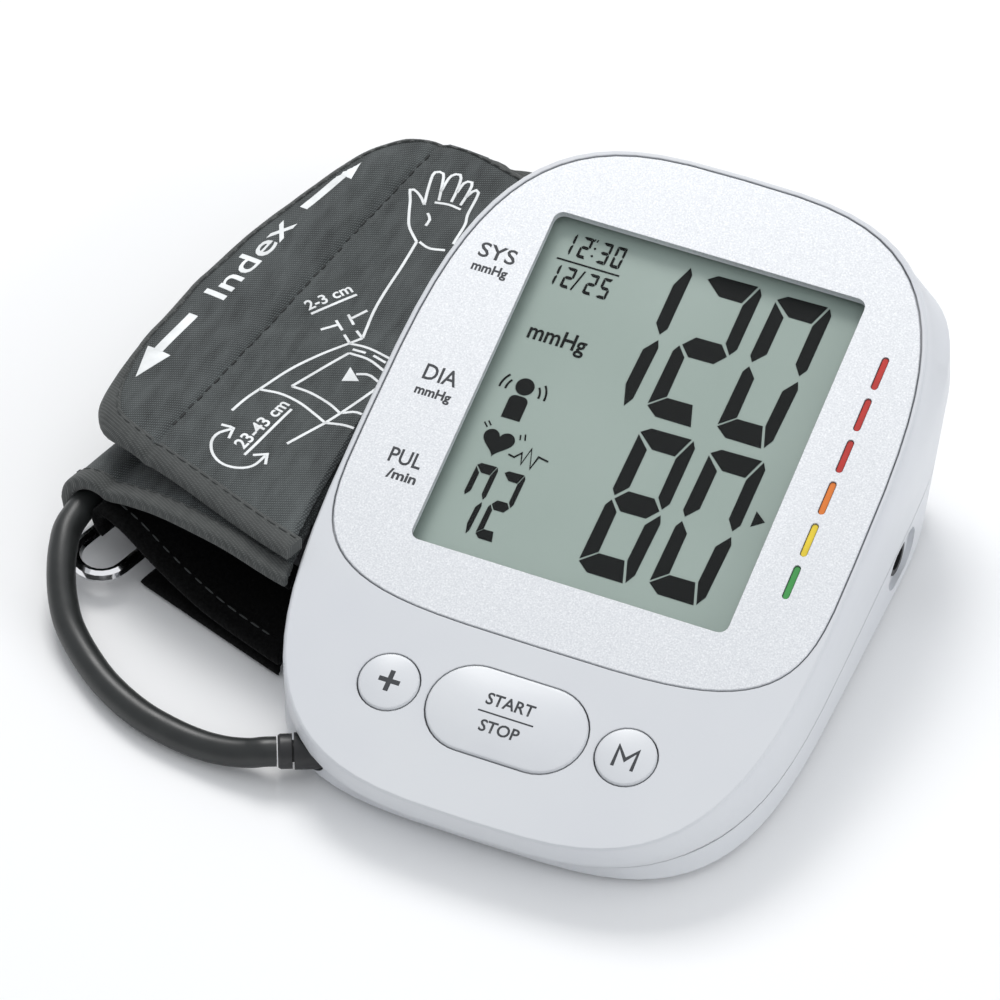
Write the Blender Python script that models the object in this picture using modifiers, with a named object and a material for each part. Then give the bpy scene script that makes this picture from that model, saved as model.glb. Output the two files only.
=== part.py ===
"""Upper arm blood pressure monitor: a wedge-shaped desk unit, its folded arm cuff and the air hose.

Units are metres, +Z is up and +X is to the right of the person reading the display.
The desk unit is drawn in its own plan frame, whose origin is below the centre of the display.
The face frame (u right, v up the face, w out of the face) has its origin at the centre of the display.
The cuff frame (m along the cuff's length, n across its width) is turned about Z.
The whole model is shifted once, so that the origin is the centre of its underside.
"""
import math

import bmesh
import bpy
from mathutils import Matrix, Vector

MM = 0.001

# Whole object
ORIGIN_SHIFT = Vector((28.165, 2.905, 0.0))
CONTACT_GAP = 0.3

# Desk unit: a face tilted towards the reader, over a flat base
FACE_TILT = math.radians(16.0)
DISPLAY_HEIGHT = 38.9
OUTLINE_POINTS = 72
OUTLINE_CENTRE = -17.0
FACE_HALF_WIDTH = 52.9
FACE_FRONT = -93.3
FACE_BACK = 59.0
FACE_EXPONENT = 3.3
BASE_HALF_WIDTH = 53.0
BASE_FRONT = -85.3
BASE_BACK = 40.5
BASE_FRONT_EXPONENT = 3.8
BASE_BACK_EXPONENT = 7.0
BASE_HEIGHT = 1.0
BELT_HALF_WIDTH = 53.6
BELT_FRONT = -86.6
BELT_BACK = 52.0
BELT_EXPONENT = 7.0
BELT_FRONT_HEIGHT = 4.6
BELT_BACK_HEIGHT = 35.0
HIP_HALF_WIDTH = 53.8
HIP_FRONT = -88.6
HIP_BACK = 55.4
HIP_EXPONENT = 5.5
HIP_FRONT_HEIGHT = 7.2
HIP_BACK_HEIGHT = 44.0
WALL = 2.2
SHOULDER_DEPTH = 4.5
SHOULDER_OUT = 0.9
PARTING_FRONT = 6.0
PARTING_SLOPE = 0.1
PARTING_GAP = 0.3

# Faceplate and display
PLATE_EDGE = 0.9
PLATE_FRONT = -54.0
PLATE_FRONT_EXPONENT = 4.0
PLATE_THICKNESS = 0.9
WINDOW_WIDTH = 67.2
WINDOW_LENGTH = 79.1
WINDOW_CORNER = 2.0
BOARD_TOP = -9.0
BOARD_THICKNESS = 1.6

# Range marks beside the display
MARK_U = 41.7
MARK_FIRST_V = 24.8
MARK_PITCH = 9.87
MARK_LENGTH = 7.5
MARK_WIDTH = 1.2

# Buttons
BUTTON_V = -70.6
BUTTON_SPACING = 25.0
BUTTON_RADIUS = 6.1
START_LENGTH = 33.0
START_WIDTH = 18.6
BUTTON_PROUD = 0.5

# Battery well, for four cells side by side
CELL_RADIUS = 5.2
CELL_LENGTH = 44.0
CELL_COUNT = 4
CELL_PITCH = 11.3
WELL_X = 7.5
WELL_HALF_WIDTH = 23.3
WELL_FRONT = -15.0
WELL_BACK = 36.0
WELL_CEILING = 15.2
WELL_WALL = 1.5
DOOR_THICKNESS = 1.7
DOOR_BACK = 38.8

# Fasteners and feet
SCREW_PLACES = ((-43.0, -38.0), (43.0, -38.0), (-43.0, 23.0), (43.0, 23.0))
BOARD_SCREW_PLACES = ((-29.0, -52.0), (29.0, -52.0))
FOOT_PLACES = ((-33.0, -66.0), (33.0, -66.0), (-36.0, 24.0), (37.0, 30.0))
FOOT_RADIUS = 4.0

# Air path
PUMP_X = -29.5
PUMP_Z = 14.2
SOCKET_PLACE = Vector((-39.1, -80.4, 5.9))
SOCKET_ANGLE = math.radians(25.0)
HOSE_RADIUS = 3.0
PLUG_OUT = 4.0
HOSE_EXIT = Vector((-86.0, -63.0, 10.4))
POWER_PLACE = Vector((53.2, 10.5, 9.6))

# Cuff
CUFF_TURN = math.radians(-18.4)
CUFF_NEAR = -73.5
CUFF_FAR = 53.5
LAYER = 2.4
WRAP_SKEW = 0.07
RING_WIRE = 1.4


def clear_scene():
    for thing in list(bpy.data.objects):
        bpy.data.objects.remove(thing, do_unlink=True)


def new_collection(name):
    collection = bpy.data.collections.new(name)
    bpy.context.scene.collection.children.link(collection)
    return collection


def new_material(name, colour, roughness, metallic=0.0, alpha=1.0):
    material = bpy.data.materials.new(name)
    material.use_nodes = True
    shader = material.node_tree.nodes["Principled BSDF"]
    shader.inputs["Base Color"].default_value = (*colour, 1.0)
    shader.inputs["Roughness"].default_value = roughness
    shader.inputs["Metallic"].default_value = metallic
    shader.inputs["Alpha"].default_value = alpha
    return material


clear_scene()
PARTS = new_collection("blood_pressure_monitor")
CUTTERS = new_collection("cutters")

MATERIALS = {
    "white_shell": new_material("white_shell", (0.80, 0.81, 0.83), 0.35),
    "silver_plate": new_material("silver_plate", (0.62, 0.64, 0.67), 0.45, 0.3),
    "white_key": new_material("white_key", (0.82, 0.83, 0.85), 0.3),
    "window": new_material("window", (0.9, 0.95, 0.93), 0.05, 0.0, 0.3),
    "display": new_material("display", (0.36, 0.43, 0.38), 0.4),
    "black_plastic": new_material("black_plastic", (0.03, 0.03, 0.03), 0.5),
    "board": new_material("board", (0.02, 0.18, 0.07), 0.5),
    "rubber": new_material("rubber", (0.04, 0.04, 0.045), 0.6),
    "silicone": new_material("silicone", (0.75, 0.75, 0.72), 0.5),
    "steel": new_material("steel", (0.55, 0.55, 0.55), 0.3, 1.0),
    "chrome": new_material("chrome", (0.75, 0.75, 0.75), 0.12, 1.0),
    "brass": new_material("brass", (0.6, 0.45, 0.2), 0.35, 1.0),
    "cell_wrap": new_material("cell_wrap", (0.08, 0.12, 0.3), 0.35),
    "mark_red": new_material("mark_red", (0.75, 0.05, 0.03), 0.35),
    "mark_orange": new_material("mark_orange", (0.8, 0.12, 0.02), 0.35),
    "mark_yellow": new_material("mark_yellow", (0.85, 0.55, 0.02), 0.35),
    "mark_green": new_material("mark_green", (0.03, 0.35, 0.07), 0.35),
    "grey_fabric": new_material("grey_fabric", (0.06, 0.07, 0.07), 0.85),
    "black_fabric": new_material("black_fabric", (0.01, 0.01, 0.01), 0.95),
    "bladder": new_material("bladder", (0.05, 0.05, 0.05), 0.6),
}


def new_frame(name, location, rotation=(0.0, 0.0, 0.0), parent=None):
    frame = bpy.data.objects.new(name, None)
    frame.location = location
    frame.rotation_euler = rotation
    frame.parent = parent
    PARTS.objects.link(frame)
    return frame


ROOT = new_frame("model_origin", ORIGIN_SHIFT * MM)
FACE = new_frame("face_frame", Vector((0.0, 0.0, DISPLAY_HEIGHT)) * MM, (FACE_TILT, 0.0, 0.0), ROOT)
CUFF = new_frame("cuff_frame", (0.0, 0.0, 0.0), (0.0, 0.0, CUFF_TURN), ROOT)


# ---------------------------------------------------------------- shapes

def place(thing, location, rotation, parent):
    thing.location = Vector(location) * MM
    thing.rotation_euler = rotation
    thing.parent = parent


def finish_mesh(name, mesh_data, slot, location=(0, 0, 0), rotation=(0, 0, 0), parent=ROOT):
    """Wraps a bmesh, drawn in millimetres, into a named part, or into a cutter when slot is None."""
    bmesh.ops.scale(mesh_data, vec=(MM, MM, MM), verts=mesh_data.verts)
    bmesh.ops.recalc_face_normals(mesh_data, faces=mesh_data.faces)
    mesh = bpy.data.meshes.new(name)
    mesh_data.to_mesh(mesh)
    mesh_data.free()
    thing = bpy.data.objects.new(name, mesh)
    place(thing, location, rotation, parent)
    if slot is None:
        CUTTERS.objects.link(thing)
        thing.hide_render = True
        thing.display_type = "WIRE"
    else:
        PARTS.objects.link(thing)
        mesh.materials.append(MATERIALS[slot])
    return thing


def box(name, size, slot, location=(0, 0, 0), rotation=(0, 0, 0), parent=ROOT, bevel=0.0):
    mesh_data = bmesh.new()
    bmesh.ops.create_cube(mesh_data, size=1.0)
    bmesh.ops.scale(mesh_data, vec=size, verts=mesh_data.verts)
    thing = finish_mesh(name, mesh_data, slot, location, rotation, parent)
    if bevel > 0.0:
        rounding = thing.modifiers.new("edges", "BEVEL")
        rounding.width = bevel * MM
        rounding.segments = 2
    return thing


def cylinder(name, radius, length, slot, location=(0, 0, 0), rotation=(0, 0, 0), parent=ROOT, sides=28):
    mesh_data = bmesh.new()
    bmesh.ops.create_cone(
        mesh_data, cap_ends=True, segments=sides, radius1=radius, radius2=radius, depth=length
    )
    return finish_mesh(name, mesh_data, slot, location, rotation, parent)


def turned(name, profile, slot, location=(0, 0, 0), rotation=(0, 0, 0), parent=ROOT, steps=28):
    """Turns a (radius, height) profile about the local Z axis; it runs down the outer side."""
    mesh = bpy.data.meshes.new(name)
    points = [(radius * MM, 0.0, height * MM) for radius, height in profile]
    mesh.from_pydata(points, [(i, i + 1) for i in range(len(points) - 1)], [])
    thing = bpy.data.objects.new(name, mesh)
    place(thing, location, rotation, parent)
    PARTS.objects.link(thing)
    mesh.materials.append(MATERIALS[slot])
    screw = thing.modifiers.new("turning", "SCREW")
    screw.steps = steps
    screw.render_steps = steps
    screw.use_merge_vertices = True
    screw.merge_threshold = 0.00001
    return thing


def loft(name, sections, slot, location=(0, 0, 0), rotation=(0, 0, 0), parent=ROOT):
    """Joins outlines with the same number of points, bottom to top, and closes both ends."""
    mesh_data = bmesh.new()
    rings = [[mesh_data.verts.new(point) for point in section] for section in sections]
    for lower, upper in zip(rings, rings[1:]):
        for i, corner in enumerate(lower):
            j = (i + 1) % len(lower)
            mesh_data.faces.new((corner, lower[j], upper[j], upper[i]))
    mesh_data.faces.new(list(reversed(rings[0])))
    mesh_data.faces.new(rings[-1])
    return finish_mesh(name, mesh_data, slot, location, rotation, parent)


def plate(name, outline, low, high, slot, location=(0, 0, 0), rotation=(0, 0, 0), parent=ROOT):
    """A flat outline given thickness between two heights."""
    sections = [[(x, y, height) for x, y in outline] for height in (low, high)]
    return loft(name, sections, slot, location, rotation, parent)


def combine(target, tool, operation="DIFFERENCE"):
    step = target.modifiers.new(tool.name, "BOOLEAN")
    step.operation = operation
    step.object = tool
    step.solver = "EXACT"


def smooth_tube(points, steps):
    """Points of a Catmull-Rom curve through the given points."""
    route = [Vector(point) for point in points]
    ends = [route[0] * 2 - route[1]] + route + [route[-1] * 2 - route[-2]]
    result = []
    for i in range(1, len(ends) - 2):
        before, start, end, after = ends[i - 1:i + 3]
        for step in range(steps):
            t = step / steps
            result.append(
                0.5 * (
                    2 * start
                    + (end - before) * t
                    + (2 * before - 5 * start + 4 * end - after) * t * t
                    + (3 * start - before - 3 * end + after) * t * t * t
                )
            )
    result.append(route[-1])
    return result


def tube(name, points, radius, slot, steps=4, closed=False, parent=ROOT):
    """A round tube or wire along a smooth curve through the points."""
    path = points if closed else smooth_tube(points, steps)
    curve = bpy.data.curves.new(name, "CURVE")
    curve.dimensions = "3D"
    curve.bevel_depth = radius * MM
    curve.bevel_resolution = 2
    curve.use_fill_caps = not closed
    spline = curve.splines.new("POLY")
    spline.points.add(len(path) - 1)
    for spot, point in zip(spline.points, path):
        spot.co = (*(Vector(point) * MM), 1.0)
    spline.use_cyclic_u = closed
    thing = bpy.data.objects.new(name, curve)
    thing.parent = parent
    curve.materials.append(MATERIALS[slot])
    PARTS.objects.link(thing)
    return thing


# ---------------------------------------------------------------- outlines

def egg_outline(half_width, front, back, front_exponent, back_exponent, count=OUTLINE_POINTS):
    """A superellipse whose front and back halves meet on the line y = OUTLINE_CENTRE."""
    points = []
    for i in range(count):
        angle = 2.0 * math.pi * i / count
        cosine = math.cos(angle)
        sine = math.sin(angle)
        exponent = back_exponent if sine >= 0.0 else front_exponent
        reach = back - OUTLINE_CENTRE if sine >= 0.0 else OUTLINE_CENTRE - front
        x = half_width * math.copysign(abs(cosine) ** (2.0 / exponent), cosine)
        y = OUTLINE_CENTRE + reach * math.copysign(abs(sine) ** (2.0 / exponent), sine)
        points.append((x, y))
    return points


def rounded_outline(width, length, radius, centre=(0.0, 0.0), corner_steps=5):
    """A rectangle with round corners; a radius of half the width makes a slot."""
    points = []
    corners = ((1, 1, 0.0), (-1, 1, 90.0), (-1, -1, 180.0), (1, -1, 270.0))
    for side_x, side_y, start in corners:
        centre_x = centre[0] + side_x * (width / 2.0 - radius)
        centre_y = centre[1] + side_y * (length / 2.0 - radius)
        for step in range(corner_steps + 1):
            angle = math.radians(start + 90.0 * step / corner_steps)
            points.append((centre_x + radius * math.cos(angle), centre_y + radius * math.sin(angle)))
    return points


def circle_outline(radius, centre=(0.0, 0.0), count=32):
    return [
        (
            centre[0] + radius * math.cos(2 * math.pi * i / count),
            centre[1] + radius * math.sin(2 * math.pi * i / count),
        )
        for i in range(count)
    ]


def face_point(u, v, w):
    """A face-frame point in the plan frame."""
    cosine = math.cos(FACE_TILT)
    sine = math.sin(FACE_TILT)
    return (u, v * cosine - w * sine, DISPLAY_HEIGHT + v * sine + w * cosine)


def base_section(height, inset):
    outline = egg_outline(
        BASE_HALF_WIDTH - inset,
        BASE_FRONT + inset,
        BASE_BACK - inset,
        BASE_FRONT_EXPONENT,
        BASE_BACK_EXPONENT,
    )
    return [(x, y, height) for x, y in outline]


def sloped_section(outline, front, back, front_height, back_height):
    """An outline laid on a plane that rises evenly from front to back."""
    slope = (back_height - front_height) / (back - front)
    return [(x, y, front_height + (y - front) * slope) for x, y in outline]


def belt_section(inset):
    """The widest line of the walls, low at the front and high at the back."""
    outline = egg_outline(
        BELT_HALF_WIDTH - inset, BELT_FRONT + inset, BELT_BACK - inset, FACE_EXPONENT, BELT_EXPONENT
    )
    return sloped_section(outline, BELT_FRONT, BELT_BACK, BELT_FRONT_HEIGHT, BELT_BACK_HEIGHT)


def hip_section(inset):
    """Where the walls begin to turn in towards the edge of the face."""
    outline = egg_outline(
        HIP_HALF_WIDTH - inset, HIP_FRONT + inset, HIP_BACK - inset, FACE_EXPONENT, HIP_EXPONENT
    )
    return sloped_section(outline, HIP_FRONT, HIP_BACK, HIP_FRONT_HEIGHT, HIP_BACK_HEIGHT)


def face_section(w, inset):
    outline = egg_outline(
        FACE_HALF_WIDTH - inset, FACE_FRONT + inset, FACE_BACK - inset, FACE_EXPONENT, FACE_EXPONENT
    )
    return [face_point(u, v, w) for u, v in outline]


def plate_outline(inset):
    return egg_outline(
        FACE_HALF_WIDTH - PLATE_EDGE - inset,
        PLATE_FRONT + inset,
        FACE_BACK - PLATE_EDGE - inset,
        PLATE_FRONT_EXPONENT,
        FACE_EXPONENT,
    )


# ---------------------------------------------------------------- desk unit: shells

def outer_body(name, slot):
    return loft(
        name,
        [
            base_section(BASE_HEIGHT, 1.2),
            base_section(BASE_HEIGHT + 0.7, 0.3),
            base_section(BASE_HEIGHT + 1.2, 0.0),
            belt_section(0.0),
            hip_section(0.0),
            face_section(-SHOULDER_DEPTH, -SHOULDER_OUT),
            face_section(-1.2, -0.55),
            face_section(-0.3, -0.2),
            face_section(0.0, 0.15),
        ],
        slot,
    )


def inner_body(name):
    floor = BASE_HEIGHT + WALL
    return loft(
        name,
        [
            base_section(floor, WALL + 0.8),
            base_section(floor + 0.8, WALL),
            belt_section(WALL),
            hip_section(WALL),
            face_section(-SHOULDER_DEPTH, WALL - SHOULDER_OUT),
            face_section(-WALL, WALL + 0.3),
        ],
        None,
    )


def skin_middle(name):
    """A body whose surface lies halfway through the shells, where a column inside them ends."""
    return loft(
        name,
        [
            base_section(BASE_HEIGHT + 0.5 * WALL, 2.0),
            belt_section(0.5 * WALL),
            hip_section(0.5 * WALL),
            face_section(-SHOULDER_DEPTH, 0.5 * WALL - SHOULDER_OUT),
            face_section(-0.5 * WALL, 1.4),
        ],
        None,
    )


def half_space(name, above):
    """A slab that removes everything above, or below, the sloping parting plane."""
    size = 260.0
    slope = math.atan(PARTING_SLOPE)
    offset = (size / 2.0 - PARTING_GAP / 2.0) * (1.0 if above else -1.0)
    height = PARTING_FRONT - BASE_FRONT * PARTING_SLOPE
    centre = Vector((0.0, 0.0, height)) + Matrix.Rotation(slope, 3, "X") @ Vector((0.0, 0.0, offset))
    return box(name, (size, size, size), None, centre, (slope, 0.0, 0.0))


def face_plate_cutter(name, outline, low, high):
    return plate(name, outline, low, high, None, parent=FACE)


def stadium(length, width, growth=0.0, centre=(0.0, 0.0)):
    return rounded_outline(
        length + 2 * growth, width + 2 * growth, width / 2.0 + growth - 0.01, centre, corner_steps=9
    )


def make_top_case():
    case = outer_body("top_case", "white_shell")
    combine(case, inner_body("top_hollow"))
    for x, y in SCREW_PLACES:
        column = cylinder(f"column_{x:.0f}_{y:.0f}", 3.0, 60.0, None, (x, y, 35.0))
        combine(column, skin_middle(f"column_limit_{x:.0f}_{y:.0f}"), "INTERSECT")
        combine(case, column, "UNION")
    for u, v in BOARD_SCREW_PLACES:
        post = cylinder(f"post_{u:.0f}", 2.4, 7.2, None, (u, v, -5.0), parent=FACE)
        combine(case, post, "UNION")
        pilot = cylinder(f"pilot_{u:.0f}", 1.1, 6.0, None, (u, v, -6.6), parent=FACE, sides=16)
        combine(case, pilot)
    combine(case, half_space("below_parting", above=False))
    for x, y in SCREW_PLACES:
        height = PARTING_FRONT + (y - BASE_FRONT) * PARTING_SLOPE
        pilot = cylinder(f"screw_pilot_{x:.0f}_{y:.0f}", 1.3, 12.0, None, (x, y, height), sides=16)
        combine(case, pilot)
    recess_floor = -PLATE_THICKNESS - CONTACT_GAP
    combine(case, face_plate_cutter("plate_recess", plate_outline(-0.15), recess_floor, 3.0))
    opening = rounded_outline(WINDOW_WIDTH + 0.4, WINDOW_LENGTH + 0.4, WINDOW_CORNER)
    combine(case, face_plate_cutter("window_opening", opening, -6.0, 3.0))
    for side in (-1, 1):
        hole = circle_outline(BUTTON_RADIUS + 0.3, (side * BUTTON_SPACING, BUTTON_V))
        combine(case, face_plate_cutter(f"key_hole_{side}", hole, -4.0, 3.0))
    start_hole = stadium(START_LENGTH, START_WIDTH, 0.3, (0.0, BUTTON_V))
    combine(case, face_plate_cutter("start_hole", start_hole, -4.0, 3.0))
    combine(case, air_socket_cutter("socket_opening_top"))
    return case


def make_bottom_case():
    case = outer_body("bottom_case", "white_shell")
    combine(case, inner_body("bottom_hollow"))
    combine(case, air_socket_cutter("socket_opening_bottom"))
    for x, y in SCREW_PLACES:
        post = cylinder(f"case_post_{x:.0f}_{y:.0f}", 3.2, 40.0, None, (x, y, 22.0))
        combine(case, post, "UNION")
    well_centre = (WELL_X, (WELL_FRONT + WELL_BACK) / 2.0)
    outer = rounded_outline(
        2 * (WELL_HALF_WIDTH + WELL_WALL), WELL_BACK - WELL_FRONT + 2 * WELL_WALL, 1.0, well_centre, 2
    )
    combine(case, plate("well_walls", outer, 2.0, WELL_CEILING + WELL_WALL, None), "UNION")
    inner = rounded_outline(2 * WELL_HALF_WIDTH, WELL_BACK - WELL_FRONT, 0.5, well_centre, 2)
    combine(case, plate("well_room", inner, -5.0, WELL_CEILING, None))
    combine(case, half_space("above_parting", above=True))
    door_room = rounded_outline(
        2 * WELL_HALF_WIDTH,
        DOOR_BACK + 30.0 - WELL_FRONT,
        0.5,
        (WELL_X, (WELL_FRONT + DOOR_BACK + 30.0) / 2.0),
        2,
    )
    combine(case, plate("door_room", door_room, -5.0, BASE_HEIGHT + DOOR_THICKNESS + CONTACT_GAP, None))
    for x, y in SCREW_PLACES:
        combine(case, cylinder(f"head_room_{x:.0f}_{y:.0f}", 2.5, 6.0, None, (x, y, 1.9), sides=20))
        combine(case, cylinder(f"shank_room_{x:.0f}_{y:.0f}", 1.5, 80.0, None, (x, y, 20.0), sides=16))
    for x, y in FOOT_PLACES:
        seat = cylinder(f"foot_seat_{x:.0f}_{y:.0f}", FOOT_RADIUS + 0.3, 3.0, None, (x, y, 0.3), sides=24)
        combine(case, seat)
    combine(case, power_recess_cutter("power_recess"))
    combine(case, cylinder("power_hole", 4.2, 20.0, None, POWER_PLACE, (0, math.pi / 2, 0)))
    return case


def power_recess_cutter(name):
    """The shallow oval dish around the power socket, in the right wall."""
    outline = rounded_outline(9.6, 15.0, 4.79, (0.0, 0.0), 6)
    return plate(name, outline, -1.4, 6.0, None, POWER_PLACE, (0.0, math.pi / 2.0, 0.0))


def air_socket_cutter(name):
    return cylinder(name, 4.0, 15.0, None, SOCKET_PLACE, socket_rotation(), sides=26)


def socket_direction():
    """Unit vector that points from the hose into the desk unit."""
    return Vector((math.cos(SOCKET_ANGLE), math.sin(SOCKET_ANGLE), 0.0))


def socket_rotation():
    """Turns local +Z to point out of the desk unit, towards the hose."""
    return (math.pi / 2.0, 0.0, SOCKET_ANGLE - math.pi / 2.0)


# ---------------------------------------------------------------- desk unit: face

def make_face():
    outline_low = [(u, v, -PLATE_THICKNESS) for u, v in plate_outline(0.15)]
    outline_mid = [(u, v, -0.15) for u, v in plate_outline(0.15)]
    outline_top = [(u, v, 0.0) for u, v in plate_outline(0.3)]
    faceplate = loft("faceplate", [outline_low, outline_mid, outline_top], "silver_plate", parent=FACE)
    opening = rounded_outline(WINDOW_WIDTH, WINDOW_LENGTH, WINDOW_CORNER)
    combine(faceplate, face_plate_cutter("plate_window", opening, -3.0, 3.0))
    slots = ("mark_red", "mark_red", "mark_red", "mark_orange", "mark_yellow", "mark_green")
    for index, slot in enumerate(slots):
        centre = (MARK_U, MARK_FIRST_V - MARK_PITCH * index)
        room = rounded_outline(MARK_WIDTH + 0.3, MARK_LENGTH + 0.3, MARK_WIDTH / 2 + 0.14, centre, 4)
        combine(faceplate, face_plate_cutter(f"mark_slot_{index + 1}", room, -3.0, 3.0))
        body = rounded_outline(MARK_WIDTH, MARK_LENGTH, MARK_WIDTH / 2 - 0.01, centre, 4)
        plate(f"range_mark_{index + 1}", body, -PLATE_THICKNESS, -0.3, slot, parent=FACE)

    lens = rounded_outline(WINDOW_WIDTH + 3.3, WINDOW_LENGTH + 3.3, 1.5)
    plate("display_window", lens, -3.3, -2.5, "window", parent=FACE)
    cell = rounded_outline(WINDOW_WIDTH + 1.8, WINDOW_LENGTH + 1.8, 0.8, corner_steps=2)
    plate("lcd_panel", cell, -6.0, -3.6, "display", parent=FACE)
    holder = plate(
        "lcd_frame",
        rounded_outline(WINDOW_WIDTH + 6.0, WINDOW_LENGTH + 6.0, 2.0),
        -8.0,
        -3.6,
        "black_plastic",
        parent=FACE,
    )
    room = rounded_outline(WINDOW_WIDTH + 2.4, WINDOW_LENGTH + 2.4, 0.8, corner_steps=2)
    combine(holder, face_plate_cutter("lcd_room", room, -9.0, 0.0))
    box("zebra_strip", (60.0, 2.4, 2.1), "rubber", (0.0, -37.0, -7.5), parent=FACE)


def make_button(name, outlines):
    """A key with a flange behind the case skin; outlines is a function of growth."""
    levels = (
        (-4.3, 1.2),
        (-3.1, 1.2),
        (-3.0, 0.0),
        (BUTTON_PROUD - 0.45, 0.0),
        (BUTTON_PROUD - 0.12, -0.2),
        (BUTTON_PROUD, -0.6),
    )
    sections = [[(u, v, w) for u, v in outlines(growth)] for w, growth in levels]
    return loft(name, sections, "white_key", parent=FACE)


def make_buttons():
    for name, side in (("plus_button", -1), ("memory_button", 1)):
        centre = (side * BUTTON_SPACING, BUTTON_V)
        make_button(name, lambda growth, c=centre: circle_outline(BUTTON_RADIUS + growth, c))
    make_button(
        "start_stop_button", lambda growth: stadium(START_LENGTH, START_WIDTH, growth, (0.0, BUTTON_V))
    )
    switches = (("plus_switch", -BUTTON_SPACING), ("start_switch", 0.0), ("memory_switch", BUTTON_SPACING))
    for name, u in switches:
        turned(
            name,
            ((0.0, -5.4), (1.7, -5.4), (1.7, -6.2), (3.4, -6.2), (3.4, BOARD_TOP + CONTACT_GAP),
             (0.0, BOARD_TOP + CONTACT_GAP)),
            "black_plastic",
            Vector((u, BUTTON_V, 0.0)),
            parent=FACE,
            steps=20,
        )


def make_board():
    low = BOARD_TOP - BOARD_THICKNESS
    board = plate(
        "main_board", rounded_outline(68.0, 117.0, 16.0, (0.0, -18.0)), low, BOARD_TOP, "board", parent=FACE
    )
    for u, v in BOARD_SCREW_PLACES:
        hole = cylinder(f"board_hole_{u:.0f}", 1.3, 8.0, None, (u, v, BOARD_TOP), parent=FACE, sides=16)
        combine(board, hole)
    under = low - CONTACT_GAP
    chip_place = (5.0, -22.0, under - 0.7)
    box("controller_chip", (13.0, 13.0, 1.4), "black_plastic", chip_place, parent=FACE, bevel=0.2)
    cylinder("buzzer", 4.5, 3.6, "black_plastic", (-12.0, -28.0, under - 1.8), parent=FACE)
    sensor_place = (3.0, -57.0, under - 2.0)
    sensor = box("pressure_sensor", (9.0, 9.0, 4.0), "black_plastic", sensor_place, parent=FACE, bevel=0.3)
    port = cylinder("sensor_port", 1.3, 2.4, None, (3.0, -57.0, under - 4.5), parent=FACE, sides=16)
    combine(sensor, port, "UNION")
    for index, (u, v) in enumerate(BOARD_SCREW_PLACES):
        turned(
            f"board_screw_{index + 1}",
            ((0.0, -5.4), (0.8, -5.4), (0.8, under), (2.0, under), (2.0, under - 1.0), (0.0, under - 1.0)),
            "steel", Vector((u, v, 0.0)), parent=FACE, steps=16,
        )


# ---------------------------------------------------------------- desk unit: inside and underside

def lying_along_y():
    return (-math.pi / 2.0, 0.0, 0.0)


def make_air_path():
    turned(
        "pump_motor",
        ((0.0, 20.0), (1.0, 20.0), (1.0, 14.6), (10.0, 14.6), (10.0, -12.0), (3.0, -12.0), (3.0, -13.4),
         (0.0, -13.4)),
        "steel", (PUMP_X, 14.0, PUMP_Z), (math.pi / 2.0, 0.0, 0.0),
    )
    turned(
        "pump_head",
        ((0.0, 9.0), (1.5, 9.0), (1.5, 5.0), (10.0, 5.0), (10.0, -6.0), (1.4, -6.0), (1.4, 0.0), (0.0, 0.0)),
        "white_key", (PUMP_X, -7.0, PUMP_Z), (math.pi / 2.0, 0.0, 0.0),
    )
    turned(
        "exhaust_valve",
        ((0.0, 13.0), (1.2, 13.0), (1.2, 9.0), (4.8, 9.0), (4.8, -9.0), (0.0, -9.0)),
        "steel", (22.0, -38.0, 9.2), (0.0, -math.pi / 2.0, 0.0), steps=24,
    )
    manifold = box("air_manifold", (14.0, 7.0, 7.0), "white_key", (-6.0, -40.0, 8.4), bevel=0.6)
    for index, x in enumerate((-10.5, -1.5)):
        nipple_place = (x, -35.5, 8.4)
        nipple = cylinder(f"manifold_nipple_{index}", 1.3, 5.0, None, nipple_place, lying_along_y(), sides=16)
        combine(manifold, nipple, "UNION")
    nipple = cylinder("manifold_side", 1.3, 5.0, None, (-14.0, -40.0, 8.4), (0, math.pi / 2, 0), sides=16)
    combine(manifold, nipple, "UNION")
    tube(
        "pump_tube",
        ((-29.5, -16.6, 14.2), (-29.5, -21.0, 13.5), (-24.0, -27.0, 10.5), (-15.0, -30.0, 8.8),
         (-10.5, -30.8, 8.4), (-10.5, -32.7, 8.4)),
        1.9, "silicone",
    )
    inner_end = SOCKET_PLACE + socket_direction() * 10.6
    tube(
        "socket_tube",
        (inner_end, inner_end + socket_direction() * 3.0, (-26.4, -69.6, 6.0), (-22.5, -57.0, 6.6),
         (-21.5, -46.0, 7.8), (-19.8, -41.0, 8.3), (-16.8, -40.0, 8.4)),
        1.9, "silicone",
    )


def make_ports():
    turned(
        "air_socket",
        ((2.5, 0.8), (3.7, 0.8), (3.7, -7.3), (2.4, -7.3), (1.7, -10.2), (0.9, -10.2), (0.9, -6.7),
         (2.5, -6.7), (2.5, 0.8)),
        "black_plastic", SOCKET_PLACE, socket_rotation(),
    )
    turned(
        "power_jack",
        ((2.75, -0.2), (3.9, -0.2), (3.9, -11.0), (0.0, -11.0), (0.0, -1.6), (1.0, -2.0), (1.0, -9.0),
         (2.75, -9.0), (2.75, -0.2)),
        "black_plastic", POWER_PLACE + Vector((-0.8, 0.0, 0.0)), (0.0, math.pi / 2.0, 0.0), steps=24,
    )


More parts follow.
